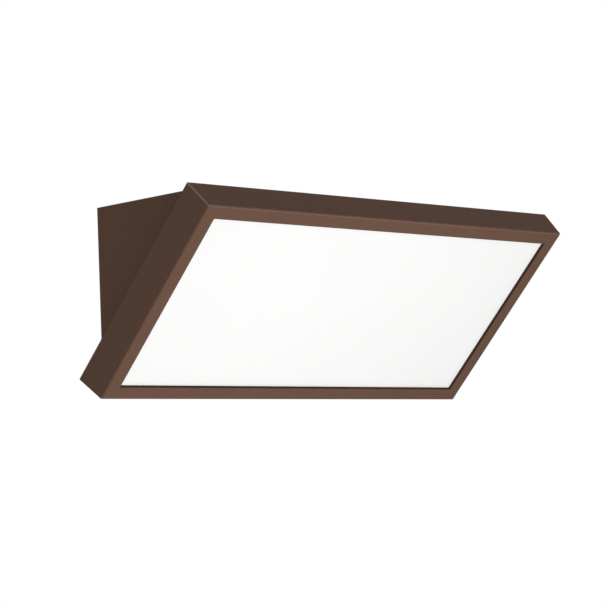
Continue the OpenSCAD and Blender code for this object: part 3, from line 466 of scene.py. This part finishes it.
shank = moved(shank, {"Position": spot(here.axis("X") * narrow, here.axis("Y") * narrow, here.axis("Z")),
                      "Offset": spot(z=(head_h - shank_l) * 0.5)})
head = head_r.node("GeometryNodeMeshCylinder", None, {
    "Vertices": 28, "Side Segments": 2, "Fill Segments": 4, "Radius": head_r, "Depth": head_h})
here = head.node("GeometryNodeInputPosition")
out = (here.axis("X") * here.axis("X") + here.axis("Y") * here.axis("Y")) / (head_r * head_r)
dome = (here.axis("Z") + head_h * 0.5) * (1.0 - 0.42 * out)
head = moved(head, {"Position": spot(here.axis("X"), here.axis("Y"), dome)})
blade = head_r.node("GeometryNodeMeshCube", None, {"Size": spot(head_r * 1.6, shank_r * 0.5, head_h * 1.1)})
here = blade.node("GeometryNodeInputPosition")
taper = 1.0 - 0.55 * (here.axis("Z") < 0.0)
blade = moved(blade, {"Position": spot(here.axis("X") * taper, here.axis("Y") * taper, here.axis("Z") + head_h)})
crossed = blade.node("GeometryNodeTransform", None, {"Geometry": blade, "Rotation": (0.0, 0.0, math.pi / 2)})
screw = head.node("GeometryNodeMeshBoolean", {"operation": "UNION", "solver": "EXACT"}, {"Mesh 2": [head, shank]})
screw = screw.node("GeometryNodeMeshBoolean", {"operation": "DIFFERENCE", "solver": "EXACT"},
                   {"Mesh 1": screw, "Mesh 2": [blade, crossed]})
finished(in_grid(screw, given, given["Seed"]), (given["Finish"], None))

m3 = {"Shank Radius": 0.0015, "Head Radius": 0.00275, "Head Height": 0.0019, "Pitch": 0.0005}
m4 = {"Shank Radius": 0.00195, "Head Radius": 0.0037, "Head Height": 0.0024, "Pitch": 0.0007}


def screws(node, finish, size, length, grid, place, turn):
    """Group of screws in a grid of columns, rows, width and height, turned about X from upright."""
    columns, rows, width, height = grid
    piece = grown(node + "_piece", screw_tree, {
        **size, "Length": length, "Columns": columns, "Rows": rows, "Width": width, "Height": height,
        "Place": tuple(place), "Turn": turn, "Seed": len(node), "Finish": finish})
    settled(piece, node, "head")


to_wall, from_wall = -math.pi / 2, math.pi / 2
brass = new_finish("brass", {"Metallic": 1.0}, brassy)
dressed("earth_tag", "head", brass, rounding=0.0001, segments=2)
screws("earth_screw", brass, m4, length=0.003, grid=(1, 1, 0.0, 0.0), place=(-0.012, -0.0207, 0.013), turn=to_wall)


# Cable gland: black nylon body, nut and locknut, with a grey silicone seal that the nut squeezes on to
# the supply cable. The nut is turned by hand first, so its round part has ribs for the fingers.
nylon = new_finish("black nylon", {"Specular IOR Level": 0.45}, moulded(tint(24, 24, 25), tint(36, 36, 37), 0.46))
silicone_skin = rubbery(tint(108, 108, 110), tint(128, 128, 130), 0.58)
silicone = new_finish("grey silicone", {"Specular IOR Level": 0.45}, silicone_skin)
dressed("gland_body", "head", nylon, rounding=0.0003)
dressed("gland_locknut", "head", nylon, rounding=0.0003)
dressed("gland_seal", "head", silicone, rounding=0.0003)
dressed("gland_nut", "gland_nut", nylon, rounding=0.0003)

rib_tree, given = new_tree("ribs round a nut", {
    "Count": "Int", "Radius": "Float", "Rib": "Vector", "Place": "Vector", "Finish": "Material"})
spots = given["Radius"].node("GeometryNodeMeshCircle", None, {
    "Vertices": given["Count"], "Radius": given["Radius"]})
rib = spots.node("GeometryNodeMeshCube", None, {"Size": given["Rib"], "Vertices Z": 3})
here = rib.node("GeometryNodeInputPosition")
outer = here.axis("X") > 0.0
crest = outer * (1.0 - abs(here.axis("Z")) / given["Rib"].axis("Z"))
rib = moved(rib, {"Offset": spot(
    (crest - 1.0) * given["Rib"].axis("X") * 0.5 * outer, here.axis("Y") * -0.45 * outer)})
outward = spots.node("FunctionNodeAlignRotationToVector", {"axis": "X"}, {
    "Vector": spots.node("GeometryNodeInputPosition")})
rib = spots.node("GeometryNodeInstanceOnPoints", None, {
    "Points": spots, "Instance": rib, "Rotation": outward})
rib = rib.node("GeometryNodeTransform", None, {
    "Geometry": rib, "Translation": given["Place"], "Rotation": (0.0, math.pi / 2, 0.0)})
finished(rib, (given["Finish"], None))

nut_low, nut_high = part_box("gland_nut")
nut_middle = [(low + high) / 2 for low, high in zip(nut_low, nut_high)]
ribs_from_end = 0.0077
ribs = grown("gland_nut_ribs", rib_tree, {
    "Count": 24, "Radius": 0.0075, "Rib": (0.0009, 0.0010, 0.0026),
    "Place": (nut_low[0] + ribs_from_end, nut_middle[1], nut_middle[2]), "Finish": nylon})
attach(ribs, "gland_nut")


# Rear housing: the tub behind the face and the hollow wedge behind it, die-cast in one piece of aluminium
# and powder-coated. The vent plug and the leads' rubber seal are pushed into its back wall.
cheek_x, cheek_margin = 0.1395, 0.0002


def housing_edge(edge):
    """Share of the rounding: none along the crisp outline of the two cheeks."""
    middle = (edge.verts[0].co.x + edge.verts[1].co.x) / 2
    return 0.0 if abs(middle) > cheek_x - cheek_margin else 1.0


dressed("rear_housing", "head", coat, rounding=0.0006, weigh=housing_edge)
dressed("vent_plug", "head", nylon, rounding=0.0003)
dressed("lead_grommet", "head", black_rubber, rounding=0.0003)


# Base screws: four stainless M4 pan heads inside the mounting base, near its corners, which hold it on
# the wedge. They are driven in from the wall side before the lamp is hung.
screws("base_screws", stainless, m4, length=0.009, grid=(2, 2, 0.172, 0.035), place=(0.0, -0.0215, 0.0),
       turn=to_wall)


# Driver: a closed pale grey plastic case hung on two bosses in the wedge. Its circuit board stands on four
# feet and carries a taped transformer, two transistors and three capacitors in black sleeves.
board_back, board_front, driver_z = -0.0326, -0.0342, 0.01525
transformer_x, transformer_half_l, tape_half_l, tape_l = 0.001, 0.0112, 0.0085, 0.0045
transistors_from_x, transistors_below_z = 0.031, driver_z - 0.002


def masked_board(point):
    track = point.node("ShaderNodeTexBrick", None, {
        "Vector": point, "Scale": 160.0, "Mortar Size": 0.06, "Color1": (1, 1, 1, 1), "Color2": (0.7, 0.7, 0.7, 1),
        "Mortar": (0, 0, 0, 1)}, "Color")
    track = track.node("ShaderNodeSeparateColor", None, {"Color": track})
    skin = grain(point, 0.0005)
    return {
        "Base Color": blend(track * 0.8 + skin * 0.2, tint(26, 78, 44), tint(42, 104, 60)),
        "Roughness": 0.32 + 0.1 * skin,
        "Normal": relief(track, 0.00003),
    }


def taped(point):
    """Yellow tape wound round the transformer, with the core's grey ends."""
    lap = (point.axis("X") / tape_l) % 1.0
    edge = lap < 0.06
    skin = grain(point, 0.0008)
    core = abs(point.axis("X") - transformer_x) > tape_half_l
    tape = blend(skin * 0.6 + edge * 0.4, tint(226, 186, 44), tint(186, 146, 30))
    return {
        "Base Color": blend(core, tape, tint(52, 52, 54)),
        "Roughness": 0.30 + 0.1 * skin + 0.25 * core,
        "Normal": relief(edge + skin * 0.2, 0.00004),
    }


def driver_part(centre, normal):
    """Number of the finish at a place on the driver's board: a foot, the board, the transformer, a
    transistor, or a capacitor's sleeve or bare metal top."""
    margin = 0.0001
    if centre.y > board_back + margin:
        return 1
    if centre.y > board_front - margin:
        return 0
    if abs(centre.x - transformer_x) < transformer_half_l:
        return 2
    if centre.x > transistors_from_x and centre.z < transistors_below_z:
        return 3
    return 4 if normal.y < -0.9 else 3


driver_plastic = new_finish("driver plastic", {}, moulded(tint(222, 222, 217), tint(232, 232, 228), 0.5))
driver_finishes = [
    new_finish("green circuit board", {}, masked_board),
    new_finish("nylon feet", {}, moulded(tint(214, 212, 204), tint(226, 224, 216), 0.45)),
    new_finish("transformer tape", {}, taped),
    new_finish("black epoxy", {}, moulded(tint(20, 20, 22), tint(34, 34, 36), 0.38)),
    tin,
]
dressed("driver_case", "head", driver_plastic, rounding=0.0004)
dressed("driver_cover", "head", driver_plastic, rounding=0.0003)
dressed("driver_board", "head", driver_finishes, rounding=0.0002, segments=2, choose=driver_part)
screws("driver_screws", stainless, m3, length=0.006, grid=(2, 1, 0.134, 0.0), place=(0.0, -0.0315, driver_z),
       turn=from_wall)


# Leads: the lamp's own insulated leads. Three go from the terminals: two through the seal to the driver, and
# the green and yellow one to the earth tag. Two more go on from the driver to the lights' board.
lead_routes = {
    "lead_live": [
        (-48.4, -18.5, 6), (-48.4, -18.5, 10), (-48.4, -18.5, 14.15), (-51.4, -17.75, 16.12),
        (-62.2, -17, 16.5), (-70.9, -12, 8.4), (-75.4, -16, 5.7), (-76, -18.85, 5.4),
        (-76, -24, 5.4), (-76, -29.15, 5.4), (-75.4, -32.8, 6.3), (-72.4, -39.35, 10.08),
        (-68, -40.5, 12.45), (-62.4, -40.5, 12.45), (-58.4, -40.5, 12.45),
    ],
    "lead_neutral": [
        (-42, -18.5, 6), (-42, -18.5, 10), (-42, -18.5, 14.15), (-45, -16.5, 19.12),
        (-59, -14.5, 19.5), (-70.9, -12, 13.6), (-75.4, -16, 10.9), (-76, -18.85, 10.6),
        (-76, -24, 10.6), (-76, -29.15, 10.6), (-75.4, -32.8, 11.5), (-72.4, -39.35, 15.47),
        (-68, -40.5, 18.05), (-62.4, -40.5, 18.05), (-58.4, -40.5, 18.05),
    ],
    "lead_earth": [
        (-35.6, -18.5, 6), (-35.6, -18.5, 10), (-35.6, -18.5, 14.15), (-33.5, -18.5, 17.2),
        (-27.8, -18.5, 16.9), (-23, -19.5, 13.6), (-20, -19.8, 13), (-18.1, -19.8, 13),
    ],
    "lead_led_plus": [
        (58.4, -40.5, 18.05), (60.8, -40.5, 18.05), (66, -41.3, 17.25), (88.5, -47.5, 10.77),
        (109.5, -54.74, 1.19), (112.5, -60.26, -4.32), (112.5, -64.14, -8.21), (112.5, -64.78, -10.12),
        (112.6, -63.51, -11.82), (112.6, -60.82, -14.51), (112.6, -59.12, -16.2),
    ],
    "lead_led_minus": [
        (58.4, -40.5, 12.45), (60.8, -40.5, 12.45), (66, -41.3, 11.65), (88.5, -47.5, 5.73),
        (106.5, -55.87, 0.06), (109.5, -60.26, -4.32), (109.5, -64.14, -8.21), (109.5, -64.78, -10.12),
        (109.4, -63.51, -11.82), (109.4, -60.82, -14.51), (109.4, -59.12, -16.2),
    ],
}
lead_colours = {
    "lead_live": (tint(92, 54, 32), tint(110, 68, 42)), "lead_neutral": (tint(28, 66, 158), tint(38, 82, 184)),
    "lead_earth": (tint(58, 128, 44), tint(72, 146, 54)), "lead_led_plus": (tint(176, 24, 20), tint(200, 38, 30)),
    "lead_led_minus": (tint(20, 20, 20), tint(34, 34, 34)),
}
stripe_colour = tint(222, 204, 40)
lead_r, led_lead_r = 0.00115, 0.0008

lead_tree, given = new_tree("insulated lead", {
    "Path": "Geometry", "Radius": "Float", "Sides": "Int", "Finish": "Material"})
path = given["Path"].node("GeometryNodeMeshToCurve", None, {"Mesh": given["Path"]})
ring = path.node("GeometryNodeCurvePrimitiveCircle", None, {
    "Resolution": given["Sides"], "Radius": given["Radius"]})
angle = ring.node("GeometryNodeSplineParameter", None, None, "Factor") * math.tau
ring = ring.node("GeometryNodeStoreNamedAttribute", {"data_type": "FLOAT", "domain": "POINT"}, {
    "Geometry": ring, "Name": "around", "Value": angle.maths("SINE", angle)})
tube = path.node("GeometryNodeCurveToMesh", None, {"Curve": path, "Profile Curve": ring, "Fill Caps": True})
finished(tube, (given["Finish"], None))


def smooth_route(points, steps=8):
    """Points in metres of the smooth curve through a route given in millimetres."""
    places = [Vector(p) / 1000 for p in points]
    ends = [places[0]] + places + [places[-1]]
    route = []
    for a, b, c, d in zip(ends, ends[1:], ends[2:], ends[3:]):
        for t in (s / steps for s in range(steps)):
            route.append(0.5 * (2 * b + (c - a) * t + (2 * a - 5 * b + 4 * c - d) * t ** 2
                                + (3 * b - a - 3 * c + d) * t ** 3))
    return route + [places[-1]]


def insulated(dark, light, striped):
    """Soft insulation with a printed stripe along it, where it has one."""
    def recipe(point):
        skin = grain(point, 0.0003)
        scuff = grain(point, 0.003, 3.0)
        colour = blend(skin * 0.4 + scuff * 0.6, dark, light)
        if striped:
            around = point.node("ShaderNodeAttribute", {"attribute_name": "around"}, None, "Fac")
            colour = blend(around > 0.25, colour, stripe_colour)
        return {
            "Base Color": colour,
            "Roughness": 0.36 + 0.12 * scuff,
            "Normal": relief(skin, 0.00001),
        }
    return recipe


for node, points in lead_routes.items():
    route = smooth_route(points)
    line = bpy.data.meshes.new(node)
    line.from_pydata(route, [(i, i + 1) for i in range(len(route) - 1)], [])
    sheath = new_finish(node.replace("_", " "), {}, insulated(*lead_colours[node], node == "lead_earth"))
    lead = grown(node + "_piece", lead_tree, {
        "Radius": led_lead_r if "led" in node else lead_r, "Sides": 16, "Finish": sheath}, line)
    settled(lead, node, "head")


# Heat plate: a 2 mm aluminium plate screwed to the tub's ledge, which spreads the lights' heat. From here on
# pieces lie on the slope, measured along the lamp, up the face and out of the face from the face's middle.
up_face = Vector((0.0, -1.0, 1.0)).normalized()
out_of_face = Vector((0.0, -1.0, -1.0)).normalized()
slope_turn = math.radians(135)


def on_slope(x, up, out):
    """Place in the room of a place on the slope."""
    return face_middle + Vector((x, 0.0, 0.0)) + up_face * up + out_of_face * out


def slope_wires(point):
    """Wires to how far a place lies along the lamp, up the face and out of the face."""
    up = point.along(up_face) - face_middle.dot(up_face)
    out = point.along(out_of_face) - face_middle.dot(out_of_face)
    return point.axis("X"), up, out


def milled(point):
    feed = grain(point, 0.0005, 2.0, (0.04, 1.0, 1.0))
    patch = grain(point, 0.02, 2.0)
    return {
        "Base Color": blend(feed * 0.6 + patch * 0.4, (0.62, 0.63, 0.64), (0.76, 0.77, 0.78)),
        "Roughness": 0.26 + 0.18 * feed,
        "Normal": relief(feed, 0.000008),
    }


milled_aluminium = new_finish("milled aluminium", {"Metallic": 1.0}, milled)
dressed("heat_plate", "head", milled_aluminium, rounding=0.0002, segments=2)
screws("plate_screws", stainless, m3, length=0.006, grid=(2, 3, 0.257, 0.078), place=on_slope(0.0, 0.003, -0.013),
       turn=slope_turn)


# Lights: four rows of fourteen white diodes on a white aluminium-core board, with a plug-in connector. Each
# diode is a white case round a yellow phosphor window, on two tinned pads joined by tracks under the mask.
rows_of_lights, lights_in_row, field_l, field_h = 4, 14, 0.198, 0.072
case_l, case_w, case_t = 0.0035, 0.0028, 0.0009
pad_half_l, pad_half_w, track_from, track_half_w = 0.0024, 0.0012, 0.0034, 0.0016
board_face, field_margin = -0.0114, 0.004


def white_masked(point):
    x, up, out = slope_wires(point)
    step_x, step_up = field_l / (lights_in_row - 1), field_h / (rows_of_lights - 1)
    from_x = abs((x + field_l / 2 + step_x / 2) % step_x - step_x / 2)
    from_up = abs((up + field_h / 2 + step_up / 2) % step_up - step_up / 2)
    in_field = (abs(x) < field_l / 2 + field_margin) * (abs(up) < field_h / 2 + field_margin)
    on_front = in_field * (out > board_face - 0.0001)
    pad = (from_x < pad_half_l) * (from_up < pad_half_w) * on_front
    track = (from_x > track_from) * (from_up < track_half_w) * on_front
    skin = grain(point, 0.0005)
    base = blend(skin * 0.5 + track * 0.5, tint(226, 226, 222), tint(238, 238, 235))
    return {
        "Base Color": blend(pad, base, tint(200, 200, 196)),
        "Metallic": pad * 0.9,
        "Roughness": 0.36 + 0.08 * skin - 0.1 * pad,
        "Normal": relief(track + skin * 0.1, 0.00003),
    }


diode_tree, given = new_tree("diodes", {
    "Size": "Vector", "Columns": "Int", "Rows": "Int", "Width": "Float", "Height": "Float", "Place": "Vector",
    "Turn": "Float", "Case": "Material", "Window": "Material", "Pads": "Material"})
case = given["Size"].node("GeometryNodeMeshCube", None, {"Size": given["Size"]})
top = case.node("GeometryNodeInputNormal").axis("Z") > 0.9
case = case.node("GeometryNodeExtrudeMesh", None, {"Mesh": case, "Selection": top, "Offset Scale": 0.0})
rim = case.other("Top")
case = case.node("GeometryNodeScaleElements", None, {"Geometry": case, "Selection": rim, "Scale": 0.78})
case = case.node("GeometryNodeExtrudeMesh", None, {"Mesh": case, "Selection": rim, "Offset Scale": -0.00015})
case = case.node("GeometryNodeStoreNamedAttribute", {"data_type": "INT", "domain": "FACE"}, {
    "Geometry": case, "Selection": case.other("Top"), "Name": "part", "Value": 1})
case_size = [given["Size"].axis(name) for name in "XYZ"]
pads = case.node("GeometryNodeMeshCube", None, {
    "Size": spot(case_size[0] + 0.0007, case_size[1] * 0.7, case_size[2] * 0.25)})
pads = moved(pads, {"Offset": spot(z=case_size[2] * -0.37)})
pads = pads.node("GeometryNodeStoreNamedAttribute", {"data_type": "INT", "domain": "FACE"}, {
    "Geometry": pads, "Name": "part", "Value": 2})
diode = case.node("GeometryNodeJoinGeometry", None, {"Geometry": [case, pads]})
diode = in_grid(diode, given)
part = diode.node("GeometryNodeInputNamedAttribute", {"data_type": "INT"}, {"Name": "part"})
finished(diode, (given["Case"], None), (given["Window"], part > 0.5), (given["Pads"], part > 1.5))

phosphor = new_finish("yellow phosphor", {}, moulded(tint(232, 198, 84), tint(244, 216, 116), 0.42, 0.0001))
diode_white = new_finish("white diode case", {}, moulded(tint(232, 232, 229), tint(242, 242, 240), 0.34))
leds = grown("leds_piece", diode_tree, {
    "Size": (case_l, case_w, case_t), "Columns": lights_in_row, "Rows": rows_of_lights, "Width": field_l,
    "Height": field_h, "Place": tuple(on_slope(0.0, 0.0, board_face + case_t / 2)), "Turn": slope_turn,
    "Case": diode_white, "Window": phosphor, "Pads": tin})
settled(leds, "leds", "head")

white_plastic = new_finish("white plastic", {}, moulded(tint(228, 228, 226), tint(238, 238, 236), 0.3, 0.0008))
dressed("led_board", "head", new_finish("white masked board", {}, white_masked), rounding=0.0001, segments=2)
dressed("board_connector", "head", white_plastic, rounding=0.0001, segments=2)
screws("board_screws", stainless, m3, length=0.0034, grid=(3, 2, 0.224, 0.086),
       place=on_slope(0.0, 0.0, board_face), turn=slope_turn)


# Reflector and seal: a white moulded tray round the lights sends their light forward, and a grey silicone
# ring between the tub's rim and the diffuser keeps the rain out.
dressed("reflector", "head", white_plastic, rounding=0.0002, segments=2)
dressed("lens_gasket", "head", silicone, rounding=0.0002, segments=2)


# Diffuser: an opal polycarbonate plate, whose raised middle fills the frame's opening. It is moulded with a
# satin face, and a faint painted glow lifts it evenly to near white.
def satin(point):
    frost = grain(point, 0.0006, 2.0)
    wide = grain(point, 0.06, 1.0)
    return {
        "Base Color": blend(wide * 0.7 + frost * 0.3, (0.60, 0.60, 0.595), (0.64, 0.64, 0.635)),
        "Roughness": 0.42 + 0.08 * frost,
        "Normal": relief(frost, 0.000006),
    }


# Painted glow: a faint, even emission that lifts the plate to near white; the diodes behind are not lit.
opal = new_finish("opal plastic", {
    "Emission Color": (1.0, 1.0, 0.995, 1.0), "Emission Strength": 0.325, "Specular IOR Level": 0.3}, satin)
dressed("diffuser", "head", opal, rounding=0.0004)


# Front frame: a die-cast aluminium frame with deep sides that flare towards the back, hooked over the tub
# at the top and screwed to it at the foot. Its upper edges carry a painted highlight, and the walls of its opening
# painted shade.
face_l, face_h, border, lip_t = 0.280, 0.133, 0.0085, 0.0024
edge_share, painted_highlight_strip, painted_highlight_corner = 0.5, 0.0009, 0.0003


def painted_edge_highlight(point):
    """The coat, with a painted highlight: paler along the top front edge, and most at the upper corners."""
    skin = coated(coat_deep, coat_light, coat_fleck)(point)
    x, up, _ = slope_wires(point)
    at_corner = abs(x) > face_l / 2 - painted_highlight_corner
    painted_highlight_share = (up > face_h / 2 - painted_highlight_strip) * (0.25 + 0.6 * at_corner)
    # Painted highlight: a paler coat along the top front edge, stronger where the upper corner edges run back.
    skin["Base Color"] = blend(painted_highlight_share, skin["Base Color"], tint(150, 120, 103))
    return skin


def frame_edge(edge):
    """Share of the rounding: all of it on the two edges that run back from the upper corners."""
    near = 0.001
    middle = sum((v.co for v in edge.verts), Vector()) / 2
    up = (middle - face_middle).dot(up_face)
    run = (edge.verts[1].co - edge.verts[0].co).normalized()
    at_corner = up > face_h / 2 - near and abs(middle.x) > face_l / 2 - near
    return 1.0 if at_corner and abs(run.dot(out_of_face)) > 0.9 else edge_share


def frame_part(centre, normal):
    """Number of the finish: the coat, its upper edge with a painted highlight, or the shaded walls of the opening.
    """
    margin, edge_w = 0.0001, 0.0007
    from_middle = centre - face_middle
    up, out = from_middle.dot(up_face), from_middle.dot(out_of_face)
    half_l, half_h = face_l / 2 - border + margin, face_h / 2 - border + margin
    if abs(centre.x) < half_l and abs(up) < half_h and -lip_t < out < -margin:
        return 2
    return 1 if up > face_h / 2 - edge_w and out > -edge_w else 0


# Brown coat with a painted highlight, for the frame's rounded edges and its top chamfer.
edge_coat_with_painted_highlight = new_finish("brown powder coat with painted edge highlight", coat_gloss, painted_edge_highlight)
shaded_coat = new_finish("brown powder coat in shade", coat_gloss,
                         coated(tint(58, 40, 33), tint(66, 46, 38), tint(74, 54, 45)))
dressed("front_frame", "head", [coat, edge_coat_with_painted_highlight, shaded_coat], rounding=0.0007, weigh=frame_edge,
        choose=frame_part, edge_finish=1)
screws("frame_screws", stainless, {**m3, "Head Height": 0.0018}, length=0.008, grid=(4, 1, 0.252, 0.0),
       place=on_slope(0.0, -0.0635, -0.0175), turn=slope_turn + math.pi)


# Studio: a pale floor well below the lamp, soft lamps, and a white surround that only the camera, glossy
# and clear surfaces see. The floor is clear from below, so that it doesn't hide the lamp's underside.
floor_z, floor_half, fade_from = -0.60, 2.6, 0.8
floor_mesh = bpy.data.meshes.new("floor")
corners = [(-1, -1), (1, -1), (1, 1), (-1, 1)]
floor_mesh.from_pydata([(x * floor_half, y * floor_half, floor_z) for x, y in corners], [], [(0, 1, 2, 3)])
floor = put_in_scene("floor", floor_mesh)


def pale(point):
    haze = grain(point, 0.3, 2.0)
    return {"Base Color": blend(haze, (0.78, 0.78, 0.78), (0.82, 0.82, 0.82)), "Roughness": 0.7 + 0.1 * haze}


def seen_directly(tree):
    """Wire that is 1 for what the camera, a mirror or clear glass sees."""
    camera_ray = Wire(tree, tree.nodes.new("ShaderNodeLightPath").outputs["Is Camera Ray"])
    seen = camera_ray
    for kind in ("Is Glossy Ray", "Is Transmission Ray"):
        seen = seen.maths("MAXIMUM", seen, camera_ray.other(kind))
    return seen


floor_finish = new_finish("pale floor", {"Specular IOR Level": 0.2}, pale)
floor_tree = floor_finish.node_tree
floor_end = next(n for n in floor_tree.nodes if n.type == "OUTPUT_MATERIAL")
own = Wire(floor_tree, floor_end.inputs[0].links[0].from_socket)
place = own.node("ShaderNodeNewGeometry", None, None, "Position")
reach = place.node("ShaderNodeVectorMath", {"operation": "LENGTH"}, {"Vector": place}, "Value")
fade = reach.node("ShaderNodeMapRange", {"interpolation_type": "SMOOTHSTEP"}, {
    "Value": reach, "From Min": fade_from, "From Max": floor_half, "To Min": 0.6, "To Max": 1.0})
lifted = own.node("ShaderNodeMixShader", None, {
    "Fac": seen_directly(floor_tree) * fade, "Shader": own, "Shader_001": own.node("ShaderNodeEmission")})
one_sided = own.node("ShaderNodeMixShader", None, {
    "Fac": own.node("ShaderNodeNewGeometry", None, None, "Backfacing"), "Shader": lifted,
    "Shader_001": own.node("ShaderNodeBsdfTransparent")})
floor_tree.links.new(one_sided.socket, floor_end.inputs[0])
floor_mesh.materials.append(floor_finish)


def soft_lamp(name, place, target, width, height, power):
    """Lamp that lights the object, but shows neither to the camera nor as a glare on a glossy surface."""
    data = bpy.data.lights.new(name, "AREA")
    data.shape, data.size, data.size_y, data.energy = "RECTANGLE", width, height, power
    lamp = put_in_scene(name, data)
    aim = (Vector(target) - Vector(place)).to_track_quat("-Z", "Y")
    lamp.matrix_world = Matrix.Translation(place) @ aim.to_matrix().to_4x4()
    lamp.visible_camera = lamp.visible_glossy = False


soft_lamp("front", place=(-0.08, -0.46, -0.32), target=(0, -0.08, -0.01), width=0.45, height=0.3, power=2.0)
soft_lamp("left", place=(-2.2, -0.4, 0.5), target=(0, -0.05, 0), width=1.2, height=1.2, power=1.7)

world = bpy.data.worlds.new("surround")
bpy.context.scene.world = world
world.use_nodes = True
sky = world.node_tree
sky.nodes.clear()
seen = seen_directly(sky)
white = (1.0, 1.0, 1.0, 1.0)
dim = seen.node("ShaderNodeBackground", None, {"Color": white, "Strength": 0.405})
bright = seen.node("ShaderNodeBackground", None, {"Color": white, "Strength": 1.0})
mixed = seen.node("ShaderNodeMixShader", None, {"Fac": seen, "Shader": dim, "Shader_001": bright})
sky.links.new(mixed.socket, sky.nodes.new("ShaderNodeOutputWorld").inputs[0])
bpy.context.scene.view_settings.view_transform = "Standard"
